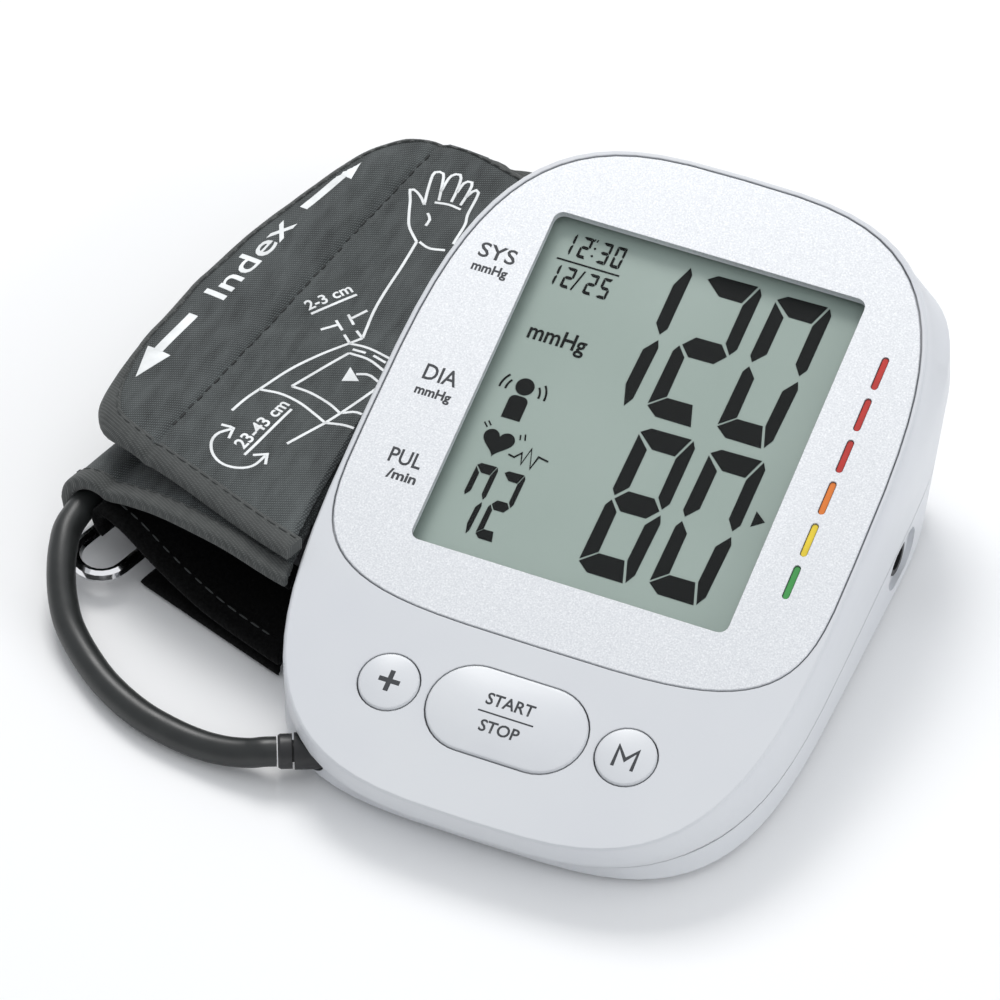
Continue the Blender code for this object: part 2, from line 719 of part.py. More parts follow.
def make_power_supply():
    first = WELL_X - CELL_PITCH * (CELL_COUNT - 1) / 2.0
    middle = (WELL_FRONT + WELL_BACK) / 2.0
    height = BASE_HEIGHT + DOOR_THICKNESS + 2 * CONTACT_GAP + CELL_RADIUS + 0.3
    for index in range(CELL_COUNT):
        turn = math.pi if index % 2 else 0.0
        turned(
            f"battery_{index + 1}",
            ((0.0, CELL_LENGTH / 2), (1.9, CELL_LENGTH / 2), (1.9, CELL_LENGTH / 2 - 0.9),
             (CELL_RADIUS, CELL_LENGTH / 2 - 0.9), (CELL_RADIUS, -CELL_LENGTH / 2), (0.0, -CELL_LENGTH / 2)),
            "cell_wrap", (first + CELL_PITCH * index, middle, height), (math.pi / 2.0, 0.0, turn),
        )
    strips = (("contact_strip_front", WELL_FRONT + 0.6, 1), ("contact_strip_back", WELL_BACK - 0.6, -1))
    for name, y, side in strips:
        strip = box(name, (2 * WELL_HALF_WIDTH - 1.0, 0.4, 9.0), "brass", (WELL_X, y, height))
        for index in range(CELL_COUNT):
            place_x = first + CELL_PITCH * index
            bump = cylinder(
                f"{name}_bump_{index}",
                2.4,
                1.6,
                None,
                (place_x, y + side * 0.8, height),
                lying_along_y(),
                sides=16,
            )
            combine(strip, bump, "UNION")
    door = box(
        "battery_door",
        (2 * WELL_HALF_WIDTH - 0.6, DOOR_BACK - WELL_FRONT - 0.3, DOOR_THICKNESS),
        "white_shell",
        (WELL_X, (DOOR_BACK + WELL_FRONT + 0.3) / 2.0, BASE_HEIGHT + DOOR_THICKNESS / 2.0),
        bevel=0.3,
    )
    for index in range(3):
        groove_place = (WELL_X, 34.0 + 2.4 * index, BASE_HEIGHT)
        groove = box(f"grip_groove_{index}", (16.0, 0.8, 1.0), None, groove_place)
        combine(door, groove)


def make_fasteners():
    for index, (x, y) in enumerate(SCREW_PLACES):
        tip = PARTING_FRONT + (y - BASE_FRONT) * PARTING_SLOPE + 4.5
        turned(
            f"case_screw_{index + 1}",
            ((0.0, tip), (1.1, tip - 1.0), (1.1, 4.5), (2.2, 4.5), (2.2, 3.0), (0.0, 3.0)),
            "steel", (x, y, 0.0), steps=16,
        )
    for index, (x, y) in enumerate(FOOT_PLACES):
        turned(
            f"foot_{index + 1}",
            ((0.0, 1.5), (FOOT_RADIUS, 1.5), (FOOT_RADIUS, 0.3), (FOOT_RADIUS - 0.3, 0.0), (0.0, 0.0)),
            "rubber", (x, y, 0.0), steps=24,
        )


# ---------------------------------------------------------------- cuff

def cuff_slab(name, outline, low, high, slot):
    return plate(name, outline, low, high, slot, parent=CUFF)


def bent_sheet(name, path, thickness, near, far, slot, skew=0.0):
    """A sheet that follows a (m, z) path and spans the cuff's width; skew shifts it along n as m grows."""
    points = [Vector(point) for point in path]
    upper = []
    lower = []
    for i, point in enumerate(points):
        ahead = points[min(i + 1, len(points) - 1)]
        behind = points[max(i - 1, 0)]
        along = (ahead - behind).normalized()
        side = Vector((-along.y, along.x)) * thickness / 2.0
        upper.append(point + side)
        lower.append(point - side)
    ring = upper + list(reversed(lower))
    sections = [[(m, n + skew * (m - path[0][0]), z) for m, z in ring] for n in (near, far)]
    return loft(name, sections, slot, parent=CUFF)


def arc(centre, radius, start, end, steps):
    """Points of a circular arc, angles in degrees."""
    points = []
    for i in range(steps + 1):
        angle = math.radians(start + (end - start) * i / steps)
        points.append((centre[0] + radius * math.cos(angle), centre[1] + radius * math.sin(angle)))
    return points


def monitor_clearance(name):
    """The space beside the desk unit that the folded cuff keeps clear of."""
    outline = egg_outline(
        BELT_HALF_WIDTH + 1.5, FACE_FRONT, FACE_BACK - 1.0, FACE_EXPONENT, BELT_EXPONENT, 48
    )
    return plate(name, outline, -5.0, 80.0, None)


def make_cuff():
    flap = cuff_slab(
        "cuff_flap",
        ((-86.0, -64.5), (-38.0, -65.5), (-30.0, 45.5), (-84.0, 45.5), (-96.0, 41.0), (-102.5, 30.0),
         (-103.5, 5.0), (-101.5, -22.0), (-96.0, -52.0), (-92.0, -61.0)),
        25.2, 27.6, "grey_fabric",
    )
    wrap_path = (
        [(-20.0, 21.8), (-50.0, 22.4), (-64.0, 21.8), (-74.0, 19.4)]
        + arc((-82.4, 9.0), 8.4, 72.0, 225.0, 8)
    )
    wrap = bent_sheet(
        "cuff_wrap", wrap_path, LAYER, CUFF_NEAR + 6.0, CUFF_FAR + 4.0, "grey_fabric", WRAP_SKEW
    )
    lining = cuff_slab(
        "cuff_lining",
        ((-70.0, -65.0), (-20.0, -65.0), (-20.0, 50.0), (-70.0, 50.0)),
        15.6,
        16.8,
        "black_fabric",
    )
    bladder = cuff_slab(
        "air_bladder", ((-66.0, -60.0), (-26.0, -60.0), (-26.0, 46.0), (-66.0, 46.0)), 17.2, 20.0, "bladder"
    )
    fold_path = (
        arc((-78.0, 10.8), 3.4, 250.0, 90.0, 6)
        + [(-72.0, 12.8), (-65.0, 9.6), (-56.0, 6.2), (-46.0, 4.8), (-20.0, 4.4)]
    )
    fold = bent_sheet("cuff_fold", fold_path, 2.0, CUFF_NEAR, CUFF_FAR - 1.0, "black_fabric")
    base = cuff_slab(
        "cuff_base", ((-69.0, CUFF_NEAR), (-20.0, CUFF_NEAR), (-20.0, CUFF_FAR), (-69.0, CUFF_FAR)), 0.0, 2.4,
        "black_fabric",
    )
    for layer in (flap, wrap, lining, bladder, fold, base):
        combine(layer, monitor_clearance(f"clearance_{layer.name}"))
    make_ring()
    make_hose()


def make_ring():
    """A long wire ring; its right-hand bar turns in a sleeve at the start of the cuff."""
    centre = (-77.6, (CUFF_NEAR + CUFF_FAR) / 2.0)
    outline = rounded_outline(11.0, CUFF_FAR - CUFF_NEAR + 15.0, 5.4, centre, 6)
    points = [(m, n, 4.6) for m, n in outline]
    tube("cuff_ring", points, RING_WIRE, "chrome", closed=True, parent=CUFF)
    bar_m = centre[0] + 5.5
    half = (CUFF_FAR - CUFF_NEAR) / 2.0 - 6.0
    turned(
        "ring_sleeve",
        ((1.6, half), (2.2, half), (2.2, -half), (1.6, -half), (1.6, half)),
        "black_fabric", (bar_m, centre[1], 4.6), (-math.pi / 2.0, 0.0, 0.0), parent=CUFF, steps=16,
    )


def cuff_point(m, n, z):
    """A cuff-frame point in the plan frame."""
    return Matrix.Rotation(CUFF_TURN, 3, "Z") @ Vector((m, n, z))


def make_hose():
    """The hose leaves the curl of the cuff, drops to the table and loops round into the desk unit."""
    cylinder(
        "hose_nipple", 2.4, 6.0, "black_plastic", (HOSE_EXIT.x, HOSE_EXIT.y + 3.3, HOSE_EXIT.z),
        (math.pi / 2, 0, 0), parent=CUFF,
    )
    plug_end = SOCKET_PLACE - socket_direction() * (PLUG_OUT + CONTACT_GAP)
    route = (
        cuff_point(*HOSE_EXIT),
        cuff_point(HOSE_EXIT.x, HOSE_EXIT.y - 6.0, HOSE_EXIT.z - 0.2),
        (-104.4, -46.2, 9.8),
        (-103.1, -51.6, 9.0),
        (-101.0, -56.8, 7.8),
        (-98.2, -61.9, 6.2),
        (-94.6, -67.0, 4.5),
        (-88.4, -72.9, 3.3),
        (-81.2, -77.8, 3.05),
        (-72.9, -81.6, 3.05),
        (-65.2, -83.5, 3.05),
        (-58.6, -84.3, 3.2),
        (-53.0, -84.4, 3.9),
        (-48.2, -83.8, 4.8),
        plug_end - socket_direction() * 2.5,
        plug_end,
    )
    tube("air_hose", route, HOSE_RADIUS, "rubber", steps=3)
    turned(
        "air_plug",
        ((0.0, PLUG_OUT), (3.2, PLUG_OUT), (3.5, PLUG_OUT - 0.5), (3.5, 1.2), (2.2, 1.2), (2.2, -6.4),
         (0.0, -6.4)),
        "black_plastic", SOCKET_PLACE, socket_rotation(),
    )


make_bottom_case()
make_top_case()
make_face()
make_buttons()
make_board()
make_air_path()
make_ports()
make_power_supply()
make_fasteners()
make_cuff()
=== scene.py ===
import math

import bmesh
import bpy
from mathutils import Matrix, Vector


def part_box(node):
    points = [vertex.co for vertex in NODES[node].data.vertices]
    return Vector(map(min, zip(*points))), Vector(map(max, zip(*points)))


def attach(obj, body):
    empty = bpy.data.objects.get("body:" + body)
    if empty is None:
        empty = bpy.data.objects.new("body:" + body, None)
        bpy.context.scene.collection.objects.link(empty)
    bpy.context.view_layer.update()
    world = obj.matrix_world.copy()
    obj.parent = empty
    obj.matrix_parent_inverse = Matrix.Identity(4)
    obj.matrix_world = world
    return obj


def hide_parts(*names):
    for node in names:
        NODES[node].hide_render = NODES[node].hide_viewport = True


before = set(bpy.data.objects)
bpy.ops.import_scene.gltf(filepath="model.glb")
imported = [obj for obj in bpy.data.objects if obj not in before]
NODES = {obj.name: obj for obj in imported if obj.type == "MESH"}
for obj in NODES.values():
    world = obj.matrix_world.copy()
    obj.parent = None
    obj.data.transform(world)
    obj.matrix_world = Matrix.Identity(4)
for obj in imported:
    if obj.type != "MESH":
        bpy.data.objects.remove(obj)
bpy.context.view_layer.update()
MM = 0.001

# Face of the desk unit: u to the right, v up the slope, w out of the plate, in millimetres.
FACE_TILT = math.radians(16.0)
FACE_U = Vector((1.0, 0.0, 0.0))
FACE_V = Vector((0.0, math.cos(FACE_TILT), math.sin(FACE_TILT)))
FACE_W = Vector((0.0, -math.sin(FACE_TILT), math.cos(FACE_TILT)))
WINDOW_MIDDLE_DEPTH = 2.9
window_low, window_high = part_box("display_window")
FACE_ORIGIN = (window_low + window_high) / 2.0 + FACE_W * WINDOW_MIDDLE_DEPTH * MM
PLAN_ORIGIN = Vector((FACE_ORIGIN.x, FACE_ORIGIN.y, 0.0))

# Folded cuff: m across it (towards the desk unit), n along it (towards the far end), z up.
CUFF_TURN = math.radians(18.4)
CUFF_M = Vector((math.cos(CUFF_TURN), -math.sin(CUFF_TURN), 0.0))
CUFF_N = Vector((math.sin(CUFF_TURN), math.cos(CUFF_TURN), 0.0))
CUFF_Z = Vector((0.0, 0.0, 1.0))

HOSE_RADIUS = 3.0
SOCKET_PLACE = Vector((-39.1, -80.4, 5.9))
SOCKET_ANGLE = math.radians(25.0)
PLUG_LENGTH = 4.3


def face(u, v, w):
    return FACE_ORIGIN + (FACE_U * u + FACE_V * v + FACE_W * w) * MM


def cuff(m, n, z):
    return PLAN_ORIGIN + (CUFF_M * m + CUFF_N * n + CUFF_Z * z) * MM


def plan(x, y, z):
    return PLAN_ORIGIN + Vector((x, y, z)) * MM


# ---------------------------------------------------------------- camera

CAMERA_AZIMUTH = math.radians(22.92)
CAMERA_ELEVATION = math.radians(46.83)
CAMERA_DISTANCE = 1.26
CAMERA_LENS = 230.98
CAMERA_TARGET = plan(-16.9, -31.3, 38.85)


def make_camera():
    data = bpy.data.cameras.new("camera")
    data.lens = CAMERA_LENS
    data.sensor_width = 36.0
    data.clip_start = 0.05
    data.clip_end = 20.0
    camera = bpy.data.objects.new("camera", data)
    bpy.context.scene.collection.objects.link(camera)
    back = Vector((
        math.sin(CAMERA_AZIMUTH) * math.cos(CAMERA_ELEVATION),
        -math.cos(CAMERA_AZIMUTH) * math.cos(CAMERA_ELEVATION),
        math.sin(CAMERA_ELEVATION),
    ))
    camera.location = CAMERA_TARGET + back * CAMERA_DISTANCE
    camera.rotation_mode = "QUATERNION"
    camera.rotation_quaternion = (-back).to_track_quat("-Z", "Y")
    bpy.context.scene.camera = camera


make_camera()


# ---------------------------------------------------------------- materials

class Material:
    """A Principled material whose detail is wired node by node, in metres of object space."""

    def __init__(self, name, colour, roughness, metallic=0.0, **sockets):
        self.data = bpy.data.materials.new(name)
        self.data.use_nodes = True
        self.tree = self.data.node_tree
        self.shader = self.tree.nodes["Principled BSDF"]
        self.shader.inputs["Base Color"].default_value = (*colour, 1.0)
        self.shader.inputs["Roughness"].default_value = roughness
        self.shader.inputs["Metallic"].default_value = metallic
        for key, value in sockets.items():
            self.shader.inputs[key.replace("_", " ")].default_value = value
        self.space = self.node("ShaderNodeTexCoord").outputs["Object"]
        self.height = None

    def node(self, kind, **values):
        made = self.tree.nodes.new(kind)
        for key, value in values.items():
            setattr(made, key, value)
        return made

    def link(self, source, target):
        self.tree.links.new(source, target)

    def mapped(self, rotation=(0.0, 0.0, 0.0), scale=(1.0, 1.0, 1.0)):
        mapping = self.node("ShaderNodeMapping")
        mapping.inputs["Rotation"].default_value = rotation
        mapping.inputs["Scale"].default_value = scale
        self.link(self.space, mapping.inputs["Vector"])
        return mapping.outputs["Vector"]

    def noise(self, size, detail=3.0, vector=None):
        """Noise with features about this many metres across."""
        noise = self.node("ShaderNodeTexNoise")
        noise.inputs["Scale"].default_value = 1.0 / size
        noise.inputs["Detail"].default_value = detail
        self.link(vector or self.space, noise.inputs["Vector"])
        return noise.outputs["Fac"]

    def bands(self, pitch, vector, profile="SIN"):
        """Parallel bands across local X, one every pitch metres."""
        wave = self.node("ShaderNodeTexWave", bands_direction="X", wave_profile=profile)
        wave.inputs["Scale"].default_value = 0.3142 / pitch
        wave.inputs["Distortion"].default_value = 0.0
        self.link(vector, wave.inputs["Vector"])
        return wave.outputs["Fac"]

    def combine(self, operation, first, second):
        maths = self.node("ShaderNodeMath", operation=operation)
        for socket, value in zip(maths.inputs, (first, second)):
            if isinstance(value, float):
                socket.default_value = value
            else:
                self.link(value, socket)
        return maths.outputs["Value"]

    def ramp(self, factor, stops):
        ramp = self.node("ShaderNodeValToRGB")
        elements = ramp.color_ramp.elements
        while len(elements) < len(stops):
            elements.new(0.5)
        for element, (position, colour) in zip(elements, stops):
            element.position = position
            element.color = (*colour, 1.0)
        self.link(factor, ramp.inputs["Fac"])
        return ramp.outputs["Color"]

    def colour(self, factor, stops):
        self.link(self.ramp(factor, stops), self.shader.inputs["Base Color"])

    def rough(self, factor, low, high):
        spread = self.node("ShaderNodeMapRange")
        spread.inputs["To Min"].default_value = low
        spread.inputs["To Max"].default_value = high
        self.link(factor, spread.inputs["Value"])
        self.link(spread.outputs["Result"], self.shader.inputs["Roughness"])

    def bump(self, factor, depth, edge_radius=0.0):
        """Relief of this depth in metres; edge_radius softens hard edges."""
        bump = self.node("ShaderNodeBump")
        bump.inputs["Distance"].default_value = depth
        bump.inputs["Strength"].default_value = 1.0
        self.link(factor, bump.inputs["Height"])
        if edge_radius:
            bevel = self.node("ShaderNodeBevel", samples=4)
            bevel.inputs["Radius"].default_value = edge_radius
            self.link(bevel.outputs["Normal"], bump.inputs["Normal"])
        self.link(bump.outputs["Normal"], self.shader.inputs["Normal"])


def grey(value):
    return (value, value, value)


def shell_plastic():
    made = Material("white_abs", (0.65, 0.665, 0.69), 0.36, Specular_IOR_Level=0.45)
    broad = made.noise(0.03, 2.0)
    made.colour(broad, [(0.3, (0.635, 0.65, 0.68)), (0.7, (0.665, 0.68, 0.70))])
    made.rough(made.noise(0.004, 3.0), 0.30, 0.42)
    made.bump(made.noise(0.0006, 2.0), 0.000006, 0.00035)
    return made.data


def key_plastic():
    made = Material("key_abs", (0.67, 0.685, 0.71), 0.30, Specular_IOR_Level=0.5)
    made.colour(made.noise(0.012, 2.0), [(0.3, (0.66, 0.675, 0.70)), (0.7, (0.685, 0.70, 0.72))])
    made.bump(made.noise(0.0006, 2.0), 0.000004, 0.0005)
    return made.data


def satin_plate():
    made = Material("silver_plate", (0.64, 0.655, 0.675), 0.42, 0.35, Specular_IOR_Level=0.5)
    sparkle = made.noise(0.00035, 2.0)
    made.colour(sparkle, [
        (0.30, (0.55, 0.565, 0.59)), (0.55, (0.64, 0.655, 0.675)), (0.75, (0.76, 0.77, 0.785)),
    ])
    made.rough(made.noise(0.0005, 1.0), 0.34, 0.52)
    made.bump(made.noise(0.0003, 2.0), 0.000012, 0.0002)
    return made.data


def moulded(name, colour, roughness, grain=0.0008, depth=0.00001, **sockets):
    """Plain moulded or painted surface: slight shade changes, fine grain, softened edges."""
    made = Material(name, colour, roughness, **sockets)
    darker = tuple(0.86 * c for c in colour)
    lighter = tuple(min(1.0, 1.10 * c) for c in colour)
    made.colour(made.noise(12 * grain), [(0.3, darker), (0.7, lighter)])
    made.rough(made.noise(4 * grain), 0.85 * roughness, min(1.0, 1.15 * roughness))
    made.bump(made.noise(grain, 2.0), depth, 0.0002)
    return made.data


def window_plastic():
    made = Material("clear_window", (0.06, 0.07, 0.065), 0.05, Alpha=0.05, Specular_IOR_Level=0.12)
    made.rough(made.noise(0.02), 0.03, 0.08)
    return made.data


def display_film():
    made = Material("display_film", (0.36, 0.445, 0.40), 0.45)
    made.colour(made.noise(0.03, 1.0), [(0.3, (0.345, 0.43, 0.385)), (0.7, (0.375, 0.46, 0.415))])
    made.bump(made.noise(0.0004, 1.0), 0.000003)
    return made.data


def twill(name, dark, light, pitch, depth, sheen, turn=0.0):
    """Fine diagonal weave: ribs across one way, threads across the other, with slubs."""
    made = Material(name, light, 0.85, Sheen_Weight=sheen, Sheen_Roughness=0.5)
    ribs = made.bands(pitch, made.mapped((0.0, 0.0, CUFF_TURN + turn + math.radians(52.0))))
    threads = made.bands(pitch * 0.62, made.mapped((0.0, 0.0, CUFF_TURN + turn - math.radians(8.0))))
    weave = made.combine("MULTIPLY", ribs, threads)
    slubs = made.noise(0.0022, 3.0, made.mapped((0.0, 0.0, CUFF_TURN), (1.0, 0.28, 1.0)))
    broad = made.noise(0.02, 2.0)
    shade = made.combine("ADD", made.combine("MULTIPLY", weave, 0.62), made.combine("MULTIPLY", slubs, 0.42))
    shade = made.combine("ADD", shade, made.combine("MULTIPLY", broad, 0.25))
    made.colour(shade, [(0.22, dark), (0.85, light)])
    made.bump(weave, depth)
    return made.data


def velvet():
    made = Material("black_loop_velvet", grey(0.004), 0.95, Sheen_Weight=0.04, Sheen_Roughness=0.35,
                    Specular_IOR_Level=0.1)
    pile = made.noise(0.0007, 4.0)
    made.colour(pile, [(0.3, grey(0.0015)), (0.75, grey(0.007))])
    made.bump(pile, 0.00025)
    return made.data


def polished_metal(name, colour, roughness):
    made = Material(name, colour, roughness, 1.0)
    made.rough(made.noise(0.003, 4.0), 0.7 * roughness, 1.6 * roughness)
    made.bump(made.noise(0.0012, 3.0), 0.000004)
    return made.data


def hose_rubber():
    made = Material("hose_rubber", (0.019, 0.0205, 0.02), 0.38, Specular_IOR_Level=0.5)
    made.colour(made.noise(0.006, 3.0), [(0.3, (0.016, 0.0175, 0.017)), (0.7, (0.023, 0.025, 0.0245))])
    made.rough(made.noise(0.003, 3.0), 0.30, 0.46)
    made.bump(made.noise(0.0005, 2.0), 0.00001)
    return made.data


FABRIC = twill("grey_twill", (0.012, 0.0145, 0.0145), (0.132, 0.148, 0.148), 0.00062, 0.00012, 0.10)
TAPE = twill("binding_tape", (0.040, 0.043, 0.042), (0.098, 0.104, 0.100), 0.00062, 0.00010, 0.10, 0.9)
VELVET = velvet()
THREAD = moulded("seam_thread", (0.045, 0.049, 0.048), 0.7, 0.0003)
DARK_THREAD = moulded("dark_thread", (0.016, 0.018, 0.018), 0.7, 0.0003)
PRINT = moulded("white_print", (0.82, 0.84, 0.84), 0.65, 0.0004, 0.00002)
LETTERING = moulded("label_ink", (0.022, 0.026, 0.032), 0.5, 0.0004)
LCD_INK = moulded("lcd_black", (0.004, 0.0045, 0.005), 0.5, 0.0004, Specular_IOR_Level=0.1)
HOSE = hose_rubber()
CHROME = polished_metal("chrome", (0.78, 0.78, 0.79), 0.07)
BLACK = moulded("black_plastic_grain", (0.018, 0.018, 0.019), 0.42)
BRASS = polished_metal("brass_leaf", (0.78, 0.58, 0.28), 0.25)
STEEL = polished_metal("steel_screws", (0.60, 0.60, 0.61), 0.3)

NODE_MATERIALS = {
    "white_shell": shell_plastic(),
    "silver_plate": satin_plate(),
    "white_key": key_plastic(),
    "window": window_plastic(),
    "display": display_film(),
    "black_plastic": BLACK,
    "board": moulded("green_board", (0.02, 0.12, 0.05), 0.4),
    "rubber": HOSE,
    "silicone": moulded("milky_silicone", (0.62, 0.63, 0.60), 0.35, Transmission_Weight=0.3),
    "steel": STEEL,
    "chrome": CHROME,
    "brass": BRASS,
    "cell_wrap": moulded("cell_label", (0.05, 0.12, 0.28), 0.3),
    "mark_red": moulded("mark_red_gloss", (0.52, 0.022, 0.014), 0.22),
    "mark_orange": moulded("mark_orange_gloss", (0.78, 0.20, 0.02), 0.22),
    "mark_yellow": moulded("mark_yellow_gloss", (0.80, 0.60, 0.03), 0.22),
    "mark_green": moulded("mark_green_gloss", (0.04, 0.30, 0.06), 0.22),
    "grey_fabric": FABRIC,
    "black_fabric": VELVET,
    "bladder": moulded("bladder_film", (0.05, 0.05, 0.055), 0.5),
}


def smoothing_group():
    """Geometry nodes that weld a CAD node's triangles and smooth all but its real edges."""
    group = bpy.data.node_groups.new("weld_and_smooth", "GeometryNodeTree")
    group.interface.new_socket("Geometry", in_out="INPUT", socket_type="NodeSocketGeometry")
    group.interface.new_socket("Geometry", in_out="OUTPUT", socket_type="NodeSocketGeometry")
    source = group.nodes.new("NodeGroupInput")
    result = group.nodes.new("NodeGroupOutput")
    weld = group.nodes.new("GeometryNodeMergeByDistance")
    weld.inputs["Distance"].default_value = 0.000004
    smooth = group.nodes.new("GeometryNodeSetShadeSmooth")
    sharpen = group.nodes.new("GeometryNodeSetShadeSmooth")
    sharpen.domain = "EDGE"
    sharpen.inputs["Shade Smooth"].default_value = False
    angle = group.nodes.new("GeometryNodeInputMeshEdgeAngle")
    steep = group.nodes.new("ShaderNodeMath")
    steep.operation = "GREATER_THAN"
    steep.inputs[1].default_value = math.radians(28.0)
    links = group.links
    links.new(source.outputs["Geometry"], weld.inputs["Geometry"])
    links.new(weld.outputs["Geometry"], smooth.inputs["Geometry"])
    links.new(smooth.outputs["Geometry"], sharpen.inputs["Geometry"])
    links.new(angle.outputs["Unsigned Angle"], steep.inputs[0])
    links.new(steep.outputs["Value"], sharpen.inputs["Selection"])
    links.new(sharpen.outputs["Geometry"], result.inputs["Geometry"])
    return group


def finish_cad_nodes():
    group = smoothing_group()
    for node in NODES.values():
        for slot in node.material_slots:
            slot.material = NODE_MATERIALS[slot.material.name.split(".")[0]]
        modifier = node.modifiers.new("weld_and_smooth", "NODES")
        modifier.node_group = group


finish_cad_nodes()


# ---------------------------------------------------------------- mesh helpers

def add_mesh(name, points, faces, material, body, slot):
    mesh = bpy.data.meshes.new(name)
    mesh.from_pydata([tuple(point) for point in points], [], faces)
    cleaner = bmesh.new()
    cleaner.from_mesh(mesh)
    bmesh.ops.recalc_face_normals(cleaner, faces=cleaner.faces)
    cleaner.to_mesh(mesh)
    cleaner.free()
    mesh.materials.append(material)
    mesh.shade_smooth()
    mesh.set_sharp_from_angle(angle=math.radians(40.0))
    piece = bpy.data.objects.new(name, mesh)
    bpy.context.scene.collection.objects.link(piece)
    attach(piece, body)
    return piece


def smooth_line(points, steps, closed=False):
    """Catmull-Rom points through the given ones, which may be tuples of any length."""
    route = [Vector(point) for point in points]
    count = len(route)
    result = []
    spans = count if closed else count - 1
    for i in range(spans):
        if closed:
            before, start, end, after = (route[(i + k) % count] for k in (-1, 0, 1, 2))
        else:
            start, end = route[i], route[i + 1]
            before = route[i - 1] if i else start * 2 - end
            after = route[i + 2] if i + 2 < count else end * 2 - start
        for step in range(steps):
            t = step / steps
            result.append(0.5 * (
                2 * start
                + (end - before) * t
                + (2 * before - 5 * start + 4 * end - after) * t * t
                + (3 * start - before - 3 * end + after) * t * t * t
            ))
    if not closed:
        result.append(route[-1])
    return result


def evenly(points, pitch, closed=False):
    """The same line with points every pitch, counted along it."""
    line = points + points[:1] if closed else points
    lengths = [0.0]
    for first, second in zip(line, line[1:]):
        lengths.append(lengths[-1] + (second - first).length)
    count = max(2, round(lengths[-1] / pitch))
    result = []
    index = 0
    for i in range(count if closed else count + 1):
        goal = lengths[-1] * i / count
        while index < len(lengths) - 2 and lengths[index + 1] < goal:
            index += 1
        span = lengths[index + 1] - lengths[index]
        share = (goal - lengths[index]) / span if span else 0.0
        result.append(line[index].lerp(line[index + 1], min(1.0, max(0.0, share))))
    return result


def add_prism(points, faces, polygon, low, high, place):
    """Adds a closed plate over a flat polygon, between two heights."""
    area = sum(a[0] * b[1] - b[0] * a[1] for a, b in zip(polygon, polygon[1:] + polygon[:1]))
    outline = polygon if area > 0 else polygon[::-1]
    base = len(points)
    count = len(outline)
    points.extend(place(x, y, low) for x, y in outline)
    points.extend(place(x, y, high) for x, y in outline)
    faces.append([base + i for i in reversed(range(count))])
    faces.append([base + count + i for i in range(count)])
    for i in range(count):
        j = (i + 1) % count
        faces.append([base + i, base + j, base + count + j, base + count + i])


def add_ribbon(points, faces, line, width, low, high, place, closed=False):
    """Adds a flat stroke of even width that follows a line."""
    spots = [Vector(spot[:2]) for spot in line]
    count = len(spots)
    base = len(points)
    for i, spot in enumerate(spots):
        before = spots[i - 1] if i or closed else spot
        after = spots[(i + 1) % count] if i + 1 < count or closed else spot
        ahead = (after - spot).normalized() if (after - spot).length else (spot - before).normalized()
        behind = (spot - before).normalized() if (spot - before).length else ahead
        along = (ahead + behind).normalized() if (ahead + behind).length > 0.2 else ahead
        side = Vector((-along.y, along.x))
        reach = width / 2.0 / max(0.55, side.dot(Vector((-ahead.y, ahead.x))))
        for sign in (1.0, -1.0):
            edge = spot + side * reach * sign
            points.append(place(edge.x, edge.y, low))
            points.append(place(edge.x, edge.y, high))
    for i in range(count if closed else count - 1):
        a = base + 4 * i
        b = base + 4 * ((i + 1) % count)
        faces.append([a + 1, b + 1, b + 3, a + 3])
        faces.append([a, a + 2, b + 2, b])
        faces.append([a, b, b + 1, a + 1])
        faces.append([a + 2, a + 3, b + 3, b + 2])
    if not closed:
        last = base + 4 * (count - 1)
        faces.append([base, base + 1, base + 3, base + 2])
        faces.append([last, last + 2, last + 3, last + 1])


def add_text(points, faces, words, centre, size, low, high, place, turn=0.0, weight=0.0):
    """Adds lettering in Blender's own font; size is the whole width and a capital's height."""
    width, height = size
    capital_share = 0.729
    curve = bpy.data.curves.new("lettering", "FONT")
    curve.body = words
    curve.size = height / capital_share
    curve.align_x = "CENTER"
    curve.align_y = "CENTER"
    curve.offset = weight
    curve.extrude = (high - low) / 2.0
    curve.resolution_u = 3
    holder = bpy.data.objects.new("lettering", curve)
    bpy.context.scene.collection.objects.link(holder)
    mesh = bpy.data.meshes.new_from_object(holder.evaluated_get(bpy.context.evaluated_depsgraph_get()))
    bpy.data.objects.remove(holder)
    bpy.data.curves.remove(curve)
    cleaner = bmesh.new()
    cleaner.from_mesh(mesh)
    bmesh.ops.remove_doubles(cleaner, verts=cleaner.verts, dist=0.0001)
    cleaner.to_mesh(mesh)
    cleaner.free()
    base = len(points)
    cosine, sine = math.cos(turn), math.sin(turn)
    middle = (low + high) / 2.0
    left = min(vertex.co.x for vertex in mesh.vertices)
    right = max(vertex.co.x for vertex in mesh.vertices)
    for vertex in mesh.vertices:
        x, y, z = vertex.co
        x = (x - (left + right) / 2.0) * width / (right - left)
        points.append(place(centre[0] + x * cosine - y * sine, centre[1] + x * sine + y * cosine, middle + z))
    faces.extend([base + i for i in polygon.vertices] for polygon in mesh.polygons)
    bpy.data.meshes.remove(mesh)


# ---------------------------------------------------------------- air hose

HOSE_MOUTH = cuff(-86.0, -63.0, 10.4)
PLUG_END = SOCKET_PLACE - Vector((math.cos(SOCKET_ANGLE), math.sin(SOCKET_ANGLE), 0.0)) * PLUG_LENGTH
HOSE_PLAN = (
    (-104.8, -46.2, 10.0), (-103.7, -51.8, 9.2), (-101.7, -57.1, 7.9), (-98.9, -62.3, 6.2),
    (-95.0, -67.3, 4.5), (-88.4, -72.9, 3.3), (-81.2, -77.8, 3.05), (-72.9, -81.6, 3.05),
    (-65.2, -83.5, 3.05), (-58.6, -84.3, 3.2), (-53.0, -84.4, 3.9), (-48.2, -83.8, 4.8),
)


